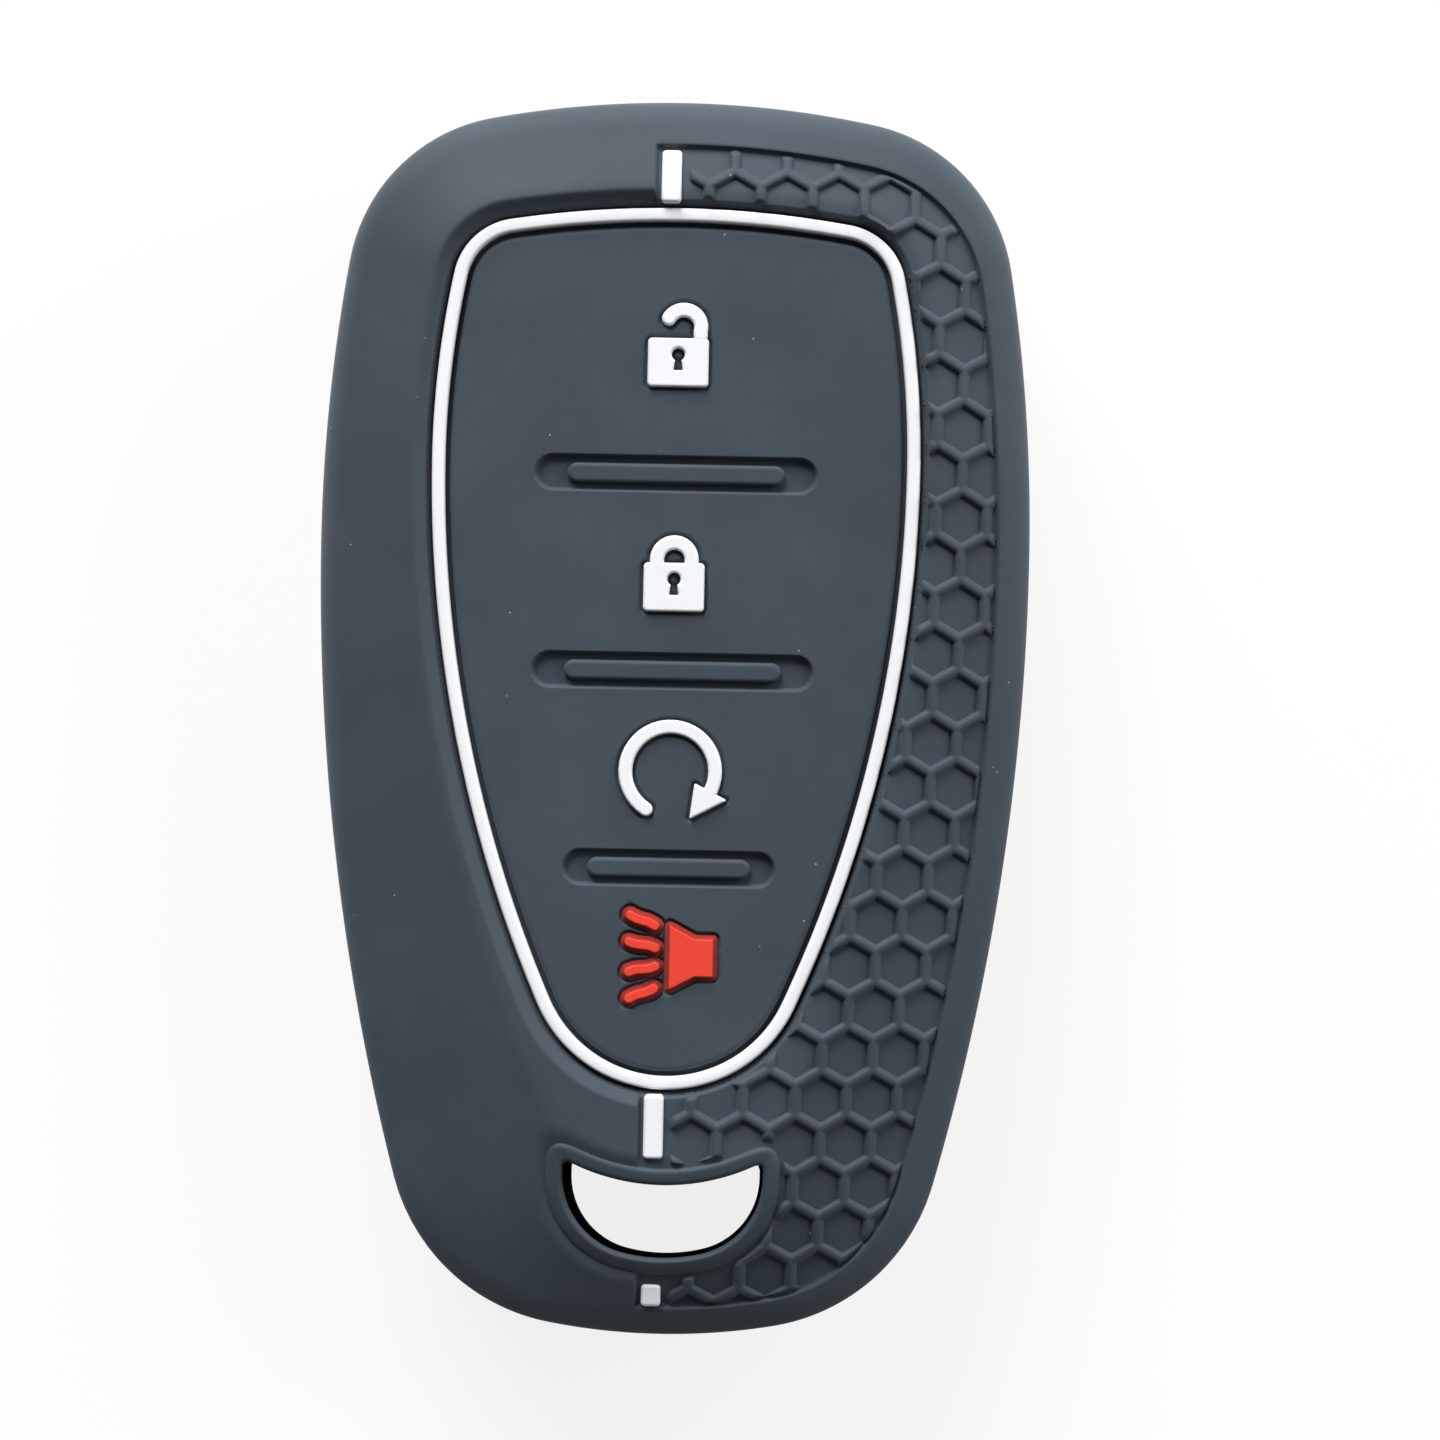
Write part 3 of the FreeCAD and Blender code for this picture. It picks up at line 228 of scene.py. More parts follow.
# %% Outline arcs
def meet(one, reach_one, two, reach_two, up):
    """The point at two given distances from two centres, the upper or the lower of the pair."""
    across = np.subtract(two, one)
    gap = np.hypot(*across)
    along = (reach_one**2 - reach_two**2 + gap**2) / (2 * gap)
    side = math.sqrt(reach_one**2 - along**2)
    unit = across / gap
    shift = np.array([-unit[1], unit[0]]) * side
    foot = np.add(one, unit * along)
    return max((foot + shift, foot - shift), key=lambda p: p[1] if up else -p[1])


def facing(start, end):
    """The direction from one point to another."""
    return math.atan2(end[1] - start[1], end[0] - start[0])


def outline(half, top, bottom, widest, crown, corner, side, tip, flank=None, foot=None):
    """The right half's arcs from tip to crown, in rows: centre, radius, first and last angle.
    Without radii for flank and foot, the flank is the arc that touches the round tip."""
    side_at, crown_at, tip_at = (half - side, widest), (0.0, top - crown), (0.0, tip - bottom)
    corner_at = meet(crown_at, crown - corner, side_at, side - corner, True)
    one, two = facing(side_at, corner_at), facing(crown_at, corner_at)
    if flank is None:
        drop = widest - tip_at[1]
        flank = (half**2 + drop**2 - tip**2) / (2 * (half - tip))
    flank_at = (half - flank, widest)
    if foot is None:
        low = facing(flank_at, tip_at)
        arcs = [(*tip_at, tip, -math.pi / 2, low), (*flank_at, flank, low, 0.0)]
    else:
        foot_at = meet(tip_at, tip - foot, flank_at, flank - foot, False)
        low, high = facing(tip_at, foot_at), facing(flank_at, foot_at)
        arcs = [(*tip_at, tip, -math.pi / 2, low), (*foot_at, foot, low, high)]
        arcs += [(*flank_at, flank, high, 0.0)]
    arcs += [(*side_at, side, 0.0, one), (*corner_at, corner, one, two)]
    return np.array(arcs + [(*crown_at, crown, two, math.pi / 2)])


def grown(sizes, gap):
    """The sizes of a parallel outline: all but the place of the widest point grow by the gap."""
    return {name: size if name == "widest" else size + gap for name, size in sizes.items()}


HALF_LENGTH, RIM, FOLD_GAP = 41.0, 2.3, 1.7
COVER_SIZES = dict(half=23.6, top=HALF_LENGTH, bottom=HALF_LENGTH, widest=11.3, crown=66.0,
                   corner=11.75, side=114.0, tip=42.5, flank=160.0, foot=13.25)
RING_SIZES = dict(half=15.6, top=33.1, bottom=23.9, widest=16.75, crown=68.0, corner=4.0,
                  side=62.0, tip=8.8)
RECESS_SIZES = {**grown(COVER_SIZES, -RIM), "top": 37.7, "bottom": 39.0}
FOLD_SIZES = {**grown(RING_SIZES, FOLD_GAP), "bottom": 33.2, "tip": 12.0,
              "flank": 100.0, "foot": 6.5}
COVER = outline(**COVER_SIZES)
RECESS = outline(**RECESS_SIZES)
RING = outline(**RING_SIZES)
FOLD = outline(**FOLD_SIZES)
print("arcs in half an outline:", len(COVER), len(RECESS), len(RING), len(FOLD))


# %% Points and distances
def at(arcs, turn, out):
    """The point where an outline faces the angle turn, moved outwards: centre plus
    (radius plus out) times the facing direction. The left half is the right one mirrored."""
    left = turn > math.pi / 2
    local = np.where(left, math.pi - turn, turn)
    which = np.clip(np.searchsorted(arcs[:, 4], local), 0, len(arcs) - 1)
    radius = arcs[which, 2] + out
    x = arcs[which, 0] + radius * np.cos(local)
    return np.where(left, -x, x), arcs[which, 1] + radius * np.sin(local)


def reach(arcs, x, y):
    """How far points lie outside an outline: the distance to an arc's centre less its radius,
    taken from the arc whose sector holds the point."""
    across = np.abs(x)
    far = np.full(np.broadcast(x, y).shape, -99.0)
    for cx, cy, radius, first, last in arcs:
        turn = np.arctan2(y - cy, across - cx)
        here = (turn >= first - 1e-9) & (turn <= last + 1e-9)
        far = np.where(here, np.maximum(far, np.hypot(across - cx, y - cy) - radius), far)
    return far


def ease(start, end, x):
    """Runs from 0 at start to 1 at end as 3tt - 2ttt."""
    t = np.clip((x - start) / (end - start), 0.0, 1.0)
    return t * t * (3.0 - 2.0 * t)


def spaced(fine, length, step):
    """Values picked from a fine row so that neighbours lie about one step apart: each short
    length is divided by the step wanted there, and the running sum is cut into whole numbers."""
    count = np.concatenate([[0.0], np.cumsum(length / step)])
    return np.interp(np.linspace(0.0, count[-1], int(round(count[-1])) + 1), count, fine)


def paced(low, high, pace):
    """Values from low to high that lie about pace(value) apart."""
    fine = np.linspace(low, high, 4001)
    return spaced(fine, np.diff(fine), pace((fine[1:] + fine[:-1]) / 2))


tip_gap = -reach(COVER, np.array(0.0), np.array(-RING_SIZES["bottom"]))
print("the ring's tip is", round(float(tip_gap), 2), "mm from the edge")


# %% [markdown]
# ## From arrays to pieces
# Each piece is a set of points in millimetres and four-sided faces. One function puts
# them into a mesh. The signed volume tells whether the faces look outwards, and edges
# sharper than an angle are marked, so that flats stay flat beside small roundings.

# %% Making a piece
CREASE = 40.0


def put_piece(name, points, faces, finish, crease=CREASE):
    """A smooth closed piece. Its volume is the sum over faces of two tetrahedra to the origin."""
    a, b, c, d = (points[faces[:, k]] for k in range(4))
    volume = np.einsum("ij,ij->", a, np.cross(b, c) + np.cross(c, d)) / 6.0
    if volume < 0:
        faces = faces[:, ::-1]
    mesh = bpy.data.meshes.new(name)
    mesh.from_pydata((points * MM).tolist(), [], faces.tolist())
    mesh.shade_smooth()
    mesh.set_sharp_from_angle(angle=math.radians(crease))
    mesh.materials.append(finish)
    piece = bpy.data.objects.new(name, mesh)
    bpy.context.scene.collection.objects.link(piece)
    print(f"{name}: {len(points)} points, {len(faces)} faces, {abs(volume):.2f} mm3")
    return piece


def seat(piece, body, finish_slot, *nodes):
    """Lets a piece ride on a body and stand for CAD nodes."""
    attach(piece, body)
    if nodes:
        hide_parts(*nodes)


def grid_faces(index):
    """The four-sided faces between neighbouring rows and columns of a grid of point numbers."""
    square = [index[:-1, :-1], index[:-1, 1:], index[1:, 1:], index[1:, :-1]]
    return np.stack(square, axis=-1).reshape(-1, 4)


def closed_grid(shape):
    """Point numbers of a grid whose last row and column are followed by the first ones."""
    index = np.arange(shape[0] * shape[1]).reshape(shape)
    index = np.concatenate([index, index[:1]])
    return np.concatenate([index, index[:, :1]], axis=1)


def edge_ends(mesh):
    """The point numbers at the two ends of every edge, in one row."""
    ends = np.empty(2 * len(mesh.edges), dtype=np.int32)
    mesh.edges.foreach_get("vertices", ends)
    return ends


print("piece makers: put_piece and seat")


# %% [markdown]
# ## Stamped figures
# Bars, ridges, symbols and the lip are flat figures with shaped tops. An extruded curve
# could give the figure, but not a top that depends on the distance to its edge. A grid
# can: the cells inside are kept, and the points at their border slide on to the edge.

# %% Stamps
WELL_INSIDE = 0.2
LEAST_SLOPE = 0.2


def slab(x, y, top, foot, quads):
    """Closes a sheet of faces into a solid: a copy at the foot, turned over, and a wall below
    every edge that only one face uses."""
    count = len(x)
    edges = np.concatenate([quads[:, [k, (k + 1) % 4]] for k in range(4)])
    free = edges[~np.isin(edges[:, 0] * count + edges[:, 1], edges[:, 1] * count + edges[:, 0])]
    walls = np.stack([free[:, 1], free[:, 0], free[:, 0] + count, free[:, 1] + count], axis=1)
    z = np.concatenate([top, np.broadcast_to(foot, count)])
    points = np.stack([np.tile(x, 2), np.tile(y, 2), z], axis=1)
    return points, np.concatenate([quads, quads[:, ::-1] + count, walls])


def stamp(field, box, step, top, foot):
    """A raised figure from a field that is below nought inside it. Grid cells with a corner well
    inside are kept, and their other corners slide along the field's slope on to its edge.
    top(x, y, depth) gives the height, and the foot is a height or a function of x and y."""
    across, up = np.arange(box[0], box[1] + step, step), np.arange(box[2], box[3] + step, step)
    x, y = np.meshgrid(across, up)
    outer = field(x, y) >= -WELL_INSIDE * step
    inner = ~outer
    cells = inner[:-1, :-1] | inner[:-1, 1:] | inner[1:, 1:] | inner[1:, :-1]
    tiny = 1e-4
    for _ in range(5):
        gap = np.where(outer, field(x, y), 0.0)
        dx = (field(x + tiny, y) - field(x - tiny, y)) / (2 * tiny)
        dy = (field(x, y + tiny) - field(x, y - tiny)) / (2 * tiny)
        steep = np.maximum(dx * dx + dy * dy, LEAST_SLOPE)
        x, y = x - gap * dx / steep, y - gap * dy / steep
    quads = grid_faces(np.arange(x.size).reshape(x.shape))[cells.ravel()]
    used, quads = np.unique(quads, return_inverse=True)
    x, y = x.ravel()[used], y.ravel()[used]
    low = foot(x, y) if callable(foot) else foot
    return slab(x, y, top(x, y, np.maximum(-field(x, y), 0.0)), low, quads.reshape(-1, 4))


def rounded(level, radius):
    """A flat top whose edge is rolled over by a quarter circle."""
    def height(x, y, depth):
        short = radius - np.minimum(depth, radius)
        return level - radius + np.sqrt(radius * radius - short * short)
    return height


print("figure makers: slab, stamp and rounded")


# %% [markdown]
# ## Key ring hole
# The hole is a smile: a bowl below and an upper edge that sags between two ears.
# It could be drawn as a closed curve. As a distance field it serves four times: it
# guides the cutter, the rolled lip, the moat beside it and the end of the ribs.

# %% Distance fields
HOLE_LOW, HOLE_HALF, HOLE_HEIGHT, HOLE_EAR = -35.6, 6.6, 5.0, 1.65
BOWL, BOWL_CORNER, CORNER_OUT = 11.0, 5.2, 1.4
RAYS_UP = 2.2


def smooth_max(a, b, blend):
    """The larger of two fields, with the corner between them rounded."""
    share = np.clip(0.5 + (a - b) / (2 * blend), 0.0, 1.0)
    return b + (a - b) * share + blend * share * (1.0 - share)


def key_hole(x, y, blend=0.7):
    """Inside the bowl and outside the sagging circle. The bowl is an arc, two corner arcs and
    upright walls. The blend rounds the ears."""
    across, up = np.abs(x), y - HOLE_LOW
    corner_up = BOWL - math.sqrt((BOWL - BOWL_CORNER)**2 - CORNER_OUT**2)
    round_corner = np.hypot(across - CORNER_OUT, up - corner_up) - BOWL_CORNER
    bowl = np.where(up < corner_up, round_corner, across - HOLE_HALF)
    under = np.arctan2(up - BOWL, across) < math.atan2(corner_up - BOWL, CORNER_OUT)
    bowl = np.where(under, np.hypot(across, up - BOWL) - BOWL, bowl)
    sag = (HOLE_HALF**2 + HOLE_EAR**2) / (2 * HOLE_EAR)
    dent = sag - np.hypot(across, up - HOLE_HEIGHT - sag)
    dent = np.where(up < HOLE_HEIGHT + sag, dent, sag)
    return smooth_max(bowl, dent, blend)


def hole_line(margin, shift, count=360):
    """Points of the hole's edge, grown by a margin and drawn out towards the end by a shift, on
    rays from its middle, by halving."""
    turn = 2 * np.pi * (np.arange(count) + 0.5) / count
    low, high = np.full(count, 0.05), np.full(count, 12.0)
    for _ in range(40):
        mid = (low + high) / 2
        x, y = mid * np.cos(turn), HOLE_LOW + RAYS_UP + mid * np.sin(turn)
        inside = np.minimum(key_hole(x, y), key_hole(x, y + shift)) < margin
        low, high = np.where(inside, mid, low), np.where(inside, high, mid)
    return low * np.cos(turn), HOLE_LOW + RAYS_UP + low * np.sin(turn)


hole_y = hole_line(0.0, 0.0)[1]
print("hole from", np.round(hole_y.min(), 2), "to", np.round(hole_y.max(), 2), "mm")

# %% [markdown]
# ## The black moulding
# The frame's face is a height above every point. It slopes gently from a fold near the
# ring to the edge, where it rolls over. On the right a shallow recess follows it behind
# a rim. A box cut with tools would leave hard edges everywhere, so the height is a
# formula, laid on lines that leave the ring at right angles.

# %% Height of the face
FACE, PAD_TOP, SIDE_TOP = 17.5, 16.6, 13.0
BEVEL_TOP, BEVEL_LOW, FOLD_SOFT = 2.1, 4.0, 0.16
EDGE_ROUND, EDGE_POWER = 1.8, 2.4
GROOVE_EDGE, SPLIT, SUNK = 0.7, -1.65, 0.45
LIP, LIP_BLEND, MOAT = 1.15, 2.4, 0.35


def crest_height(x, y):
    """The face without its hollows. It is flat inside the fold, and from there it falls to the
    edge in proportion to the way gone. The fall changes evenly from one end to the other. The
    last stretch before the edge is rounded."""
    inset, run = -reach(COVER, x, y), reach(FOLD, x, y)
    run = 0.5 * (run + np.sqrt(run**2 + FOLD_SOFT))
    fall = (BEVEL_TOP + BEVEL_LOW) / 2 + (BEVEL_TOP - BEVEL_LOW) / 2 * y / HALF_LENGTH
    slope = FACE - fall * run / np.maximum(run + np.maximum(inset, 0.0), 1e-6)
    bend = np.clip(1.0 - inset / EDGE_ROUND, 0.0, 1.0)
    return SIDE_TOP + (slope - SIDE_TOP) * (1.0 - bend**EDGE_POWER) ** (1 / EDGE_POWER)


def recess_side(x):
    """0 left of the split line and 1 right of it."""
    return ease(SPLIT - 0.14, SPLIT + 0.12, x)


def surface_height(x, y):
    """The crest, which falls to the groove near the ring, more steeply on the recess's side."""
    foot, wide = PAD_TOP + 0.2, 1.7 - 0.7 * recess_side(x)
    return foot + (crest_height(x, y) - foot) * ease(GROOVE_EDGE, wide, reach(RING, x, y))


def face_height(x, y):
    """The surface less the recess, which lies right of the split line and inside the rim. On the
    left a shallow moat runs round the lip of the key ring hole instead."""
    side = recess_side(x)
    recess = side * ease(0.14, -0.16, reach(RECESS, x, y)) * ease(GROOVE_EDGE, 1.0, reach(RING, x, y))
    moat = (1.0 - side) * ease(LIP + 0.55, LIP - 0.25, key_hole(x, y, LIP_BLEND))
    return surface_height(x, y) - SUNK * recess - MOAT * moat


probe = face_height(np.array([-19.0, 18.0]), np.zeros(2))
print("crest and recess at", np.round(probe, 2).tolist(), "mm")


# %% Lines and rows of the moulding
def ring_turns(count):
    """Facing angles along the right half of the ring, count of them for each arc."""
    return np.concatenate([np.linspace(arc[3], arc[4], count, endpoint=False) for arc in RING])


turns = ring_turns(1500)
turns = np.concatenate([turns, np.pi - turns[::-1]])
# Lines are spaced 4 mm outside the ring. They crowd at the hole and at the split line.
line_x, line_y = at(RING, turns, 4.0)
mid_x, mid_y = (line_x[1:] + line_x[:-1]) / 2, (line_y[1:] + line_y[:-1]) / 2
step = np.full(len(mid_x), 0.5)
step[(mid_y < -20) & (np.abs(mid_x) < 7.5)] = 0.24
step[(mid_y < -20) & (mid_x > -2.75) & (mid_x < -0.5)] = 0.05
step[(mid_y > 30) & (mid_x > -2.0) & (mid_x < -0.9)] = 0.055
lines = spaced(turns, np.hypot(np.diff(line_x), np.diff(line_y)), step)[:-1, None]


def out_to(shape, level):
    """How far each line runs from the ring to a level of another outline, by halving."""
    low, high = np.full(lines.shape, -1.0), np.full(lines.shape, 26.0)
    for _ in range(44):
        mid = (low + high) / 2
        short = reach(shape, *at(RING, lines, mid)) < level
        low, high = np.where(short, mid, low), np.where(short, high, mid)
    return low


def between(one, two, shares):
    """Values at shares of the way from one to two."""
    return [one + (two - one) * share for share in shares]


def level_rows(outs, heights):
    """Rows of the moulding: distances from the ring with their heights."""
    full = lines.shape
    return [(np.broadcast_to(out, full), np.broadcast_to(z, full)) for out, z in zip(outs, heights)]


valley_rows = [0.85, 0.92, 1.0, 1.08, 1.16, 1.24, 1.32, 1.4]
valley_rows += [1.48, 1.56, 1.64, 1.75, 1.9, 2.2, 2.5, 2.9]
rim_levels = (-0.5, -0.3, -0.18, -0.1, -0.03, 0.03, 0.09, 0.16, 0.28)
edge_insets = (1.8, 1.5, 1.2, 0.95, 0.72, 0.52, 0.35, 0.21, 0.1, 0.03)
rim_rows = [out_to(RECESS, level) for level in rim_levels]
edge_rows = [out_to(COVER, -inset) for inset in edge_insets]
face_rows = valley_rows + between(valley_rows[-1], rim_rows[0], np.linspace(0, 1, 30)[1:-1]) + rim_rows
face_rows += between(rim_rows[-1], edge_rows[0], (0.33, 0.66)) + edge_rows
face_rows = [np.broadcast_to(out, lines.shape) for out in face_rows]
print(len(lines), "lines,", len(face_rows), "rows on the face")

# %% [markdown]
# ## Skin of the moulding
# The rows go once round the section: through the ring's groove, over the face, down the
# side past the mould's seam, round the back lip and up the cavity to the groove again.
# Thickening a face would be less work, but the cavity isn't parallel to the outside.

# %% Cover skin
GROOVE, ROOF, ARCH = 15.8, 15.3, 5.6
BACK_ROUND, BACK_WALL, SIDE_WALL, CAVITY_FOOT = 3.5, 1.4, 1.6, 1.9
WINDOW = 1.75
SEAM_HEIGHTS = [13.0, 12.0, 10.5, 9.2, 8.9, 8.82, 8.75, 8.68, 8.6, 8.3, 7.0, 5.5, 4.2]
SEAM_PROUD = {8.82: 0.05, 8.75: 0.06, 8.68: 0.05}
rolled = np.radians(np.arange(0, 91, 10))
foot_roll, roof_roll = rolled[::2], rolled[2::2]
brim, back_edge = out_to(COVER, 0.0), out_to(COVER, -BACK_ROUND)
skin = level_rows([-0.70, -0.3, 0.3, 0.55, 0.61, 0.64, 0.66, 0.70, 0.78],
                  [GROOVE, GROOVE, GROOVE, GROOVE, 15.86, 16.1, 16.42, 16.55, PAD_TOP])
skin += [(out, face_height(*at(RING, lines, out))) for out in face_rows]
skin += level_rows([brim + SEAM_PROUD.get(z, 0.0) for z in SEAM_HEIGHTS], SEAM_HEIGHTS)
skin += level_rows([out_to(COVER, -BACK_ROUND * (1 - math.cos(a))) for a in rolled],
                   BACK_ROUND * (1 - np.sin(rolled)))
skin += level_rows(between(back_edge, WINDOW, (0.25, 0.5, 0.75, 1.0)), [0.0] * 4)
skin += level_rows([1.6, 1.52, 1.5, 1.5, 1.52, 1.6, WINDOW],
                   [0.03, 0.1, 0.25, 1.15, 1.3, 1.37, BACK_WALL])
skin += level_rows(between(WINDOW, back_edge, (0.3, 0.65)), [BACK_WALL] * 2)
skin += level_rows([out_to(COVER, -SIDE_WALL - CAVITY_FOOT * (1 - math.sin(a))) for a in foot_roll],
                   BACK_WALL + CAVITY_FOOT * (1 - np.cos(foot_roll)))
skin += level_rows([out_to(COVER, -SIDE_WALL)] * 4, [3.3, 6.0, 8.0, ROOF - ARCH])
skin += level_rows([out_to(COVER, -SIDE_WALL - ARCH * (1 - math.cos(a))) for a in roof_roll],
                   ROOF - ARCH * (1 - np.sin(roof_roll)))
skin += level_rows(between(out_to(COVER, -SIDE_WALL - ARCH), 0.6, (0.2, 1.0)), [ROOF] * 2)
skin += level_rows([-0.65, -0.70, -0.70], [ROOF, 15.36, 15.7])
out = np.concatenate([row[0] for row in skin], axis=1)
skin_x, skin_y = at(RING, lines, out)
skin_z = np.concatenate([row[1] for row in skin], axis=1)
skin_points = np.stack([skin_x.ravel(), skin_y.ravel(), skin_z.ravel()], axis=1)
cover_skin = put_piece("cover_skin", skin_points, grid_faces(closed_grid(out.shape)), black)


# %% [markdown]
# ## Cutting the hole
# The lines can't follow a smile, so the hole is cut with a boolean. Two plugs are used,
# because the hole lies nearer the end in the back wall. The exact solver is slower than
# the fast one, but it copes with points that lie almost on the cutter.

# %% Cutting the key ring hole
BACK_SHIFT = 1.9


def prism(margin, shift, low, high, first):
    """A straight plug of the hole's shape, with its points numbered from first."""
    x, y = hole_line(margin, shift)
    count = len(x)
    ring = np.arange(count)
    after = np.roll(ring, -1)
    points = np.stack([np.tile(x, 2), np.tile(y, 2), np.repeat([low, high], count)], axis=1)
    walls = np.stack([ring, after, after + count, ring + count], axis=1) + first
    return points, walls.tolist() + [(ring[::-1] + first).tolist(), (ring + count + first).tolist()]


def drop_passing_points(mesh):
    """Removes the points that only two edges use. A cut leaves a few of them, and each would make
    a sliver where the faces beside it are split into triangles."""
    passing = np.flatnonzero(np.bincount(edge_ends(mesh)) == 2)
    shell = bmesh.new()
    shell.from_mesh(mesh)
    shell.verts.ensure_lookup_table()
    bmesh.ops.dissolve_verts(shell, verts=[shell.verts[k] for k in passing])
    shell.to_mesh(mesh)
    shell.free()


front_plug, front_faces = prism(0.1, 0.0, 10.0, 22.0, 0)
back_plug, back_faces = prism(0.0, BACK_SHIFT, -3.0, 5.0, len(front_plug))
plug_points = np.concatenate([front_plug, back_plug]) * MM
plug_mesh = bpy.data.meshes.new("hole_plug")
plug_mesh.from_pydata(plug_points.tolist(), [], front_faces + back_faces)
plug_mesh.materials.append(black)
plug = bpy.data.objects.new("hole_plug", plug_mesh)
bpy.context.scene.collection.objects.link(plug)
carve = cover_skin.modifiers.new("key_hole", "BOOLEAN")
carve.operation = "DIFFERENCE"
carve.solver = "EXACT"
carve.object = plug
evaluated = cover_skin.evaluated_get(bpy.context.evaluated_depsgraph_get())
carved = bpy.data.meshes.new_from_object(evaluated)
cover_skin.modifiers.clear()
cover_skin.data = carved
bpy.data.objects.remove(plug)
carved.name = "cover_skin"
drop_passing_points(carved)
carved.shade_smooth()
carved.set_sharp_from_angle(angle=math.radians(CREASE))
seat(cover_skin, "cover", "black_silicone", "cover_shell")
print("cover_skin after the cut:", len(carved.polygons), "faces")

# %% [markdown]
# ## Rolled lip of the hole
# A bead runs round the hole, so that a key ring does not tear it. It could be a tube on
# a curve. The hole's field is at hand, so the lip is the band of 1.15 mm round it, flat
# on top with rolled shoulders. Its outer edge takes a field with rounder ears.

# %% Hole lip
LIP_SUNK, LIP_LEAN, LIP_FOOT = 0.12, 0.12, 15.2


def lip_height(x, y, depth):
    """A flat band with rolled shoulders, from the face outside to the hole's wall inside. It
    leans a little towards the cover's end: lean is the field's slope along the cover."""
    inner, outer = key_hole(x, y), LIP - key_hole(x, y, LIP_BLEND)
    across = (inner - outer) / np.maximum(inner + outer, 1e-6)
    lean = (key_hole(x, y + 0.01) - key_hole(x, y - 0.01)) / 0.02
    crown = surface_height(x, y) - LIP_SUNK + LIP_LEAN * across * lean
    low = np.where(across > 0, face_height(x, y) - 0.1, crown - 0.5)
    return low + (crown - low) * np.sqrt(1.0 - np.clip(across * across, 0.0, 1.0) ** 2)


def lip_band(x, y):
    """Below nought outside the hole and within the lip's width of it."""
    return np.maximum(-key_hole(x, y), key_hole(x, y, LIP_BLEND) - LIP)


lip_points, lip_faces = stamp(lip_band, (-8.8, 8.8, -37.8, -26.8), 0.075, lip_height, LIP_FOOT)
hole_lip = put_piece("hole_lip", lip_points, lip_faces, black, crease=60.0)
seat(hole_lip, "cover", "black_silicone")

# %% [markdown]
# ## Honeycomb grip
# Raised ribs between six-sided cells give the thumb a hold. An array of cut hexagons
# would leave square ribs. Here every cell carries a ring of rows from the rib's crest
# to its foot, and neighbours share the crest, so the ribs come out round and joined.

# %% Honeycomb
PITCH, RIB, RISE = 3.4, 0.42, 0.42
FIRST_RIB, FIRST_ROW = 3.5, 37.0
RIB_SUNK, RIB_FOOT = 0.08, 0.3


def rib_share(x, y):
    """1 where ribs stand at full height. It eases to 0 at the ring, the rim, the bars and the
    lip."""
    share = ease(0.88, 1.12, reach(RING, x, y)) * ease(0.08, 0.35, -reach(RECESS, x, y))
    return share * ease(0.4, 0.7, x) * ease(LIP + 0.1, LIP + 0.4, key_hole(x, y, LIP_BLEND))


row, column = np.meshgrid(np.arange(-1, 29), np.arange(-2, 9))
cell_x = (FIRST_RIB - PITCH / 2 + PITCH / 2 * (row % 2) + PITCH * column).ravel()
cell_y = (FIRST_ROW - row * PITCH * math.sqrt(3) / 2).ravel()
corners = np.radians(30 + 60 * np.arange(7))
corner_x = np.cos(corners) * PITCH / math.sqrt(3)
corner_y = np.sin(corners) * PITCH / math.sqrt(3)
share = np.arange(10) / 10
loop_x = (corner_x[:-1, None] + np.diff(corner_x)[:, None] * share).ravel()
loop_y = (corner_y[:-1, None] + np.diff(corner_y)[:, None] * share).ravel()
away = np.array([0.0, 0.1, 0.19, 0.26, 0.32, 0.37, 0.41, 0.45])
shrink = 1.0 - away[None, :, None] / (PITCH / 2)
rib_x = cell_x[:, None, None] + shrink * loop_x
rib_y = cell_y[:, None, None] + shrink * loop_y
stand = rib_share(rib_x, rib_y)
# The crest is blunt and the flanks are steep.
profile = np.clip(1.0 - (away / RIB) ** 2.6, 0.0, 1.0) ** 0.6
rib_z = face_height(rib_x, rib_y) - RIB_SUNK + (RISE + RIB_SUNK) * stand * profile[None, :, None]
print(len(cell_x), "cells of", len(loop_x) * len(away), "points")

# %% Joining the ribs
index = np.arange(rib_x.size).reshape(rib_x.shape)
index = np.concatenate([index, index[:, :, :1]], axis=2)
square = [index[:, :-1, :-1], index[:, 1:, :-1], index[:, 1:, 1:], index[:, :-1, 1:]]
quads = np.stack(square, axis=-1).reshape(-1, 4)
quads = quads[stand.ravel()[quads].max(axis=1) > 0.0]
places = np.round(np.stack([rib_x.ravel(), rib_y.ravel()], axis=1), 3)
_, first, same = np.unique(places, axis=0, return_index=True, return_inverse=True)
used, quads = np.unique(first[same.ravel()[quads]], return_inverse=True)
rib_x, rib_y, rib_z = (values.ravel()[used] for values in (rib_x, rib_y, rib_z))
rib_foot = face_height(rib_x, rib_y) - RIB_FOOT
grip_points, grip_faces = slab(rib_x, rib_y, rib_z, rib_foot, quads.reshape(-1, 4))
honeycomb = put_piece("honeycomb_ribs", grip_points, grip_faces, black, crease=70.0)
seat(honeycomb, "cover", "black_silicone", "honeycomb_grip")

# %% [markdown]
# ## White ring
# The ring is a bead of white silicone that stands in a groove round the pads. A curve
# with a bevel would be round. Here a profile is carried along the ring's line: flat on
# top, with rolled shoulders.

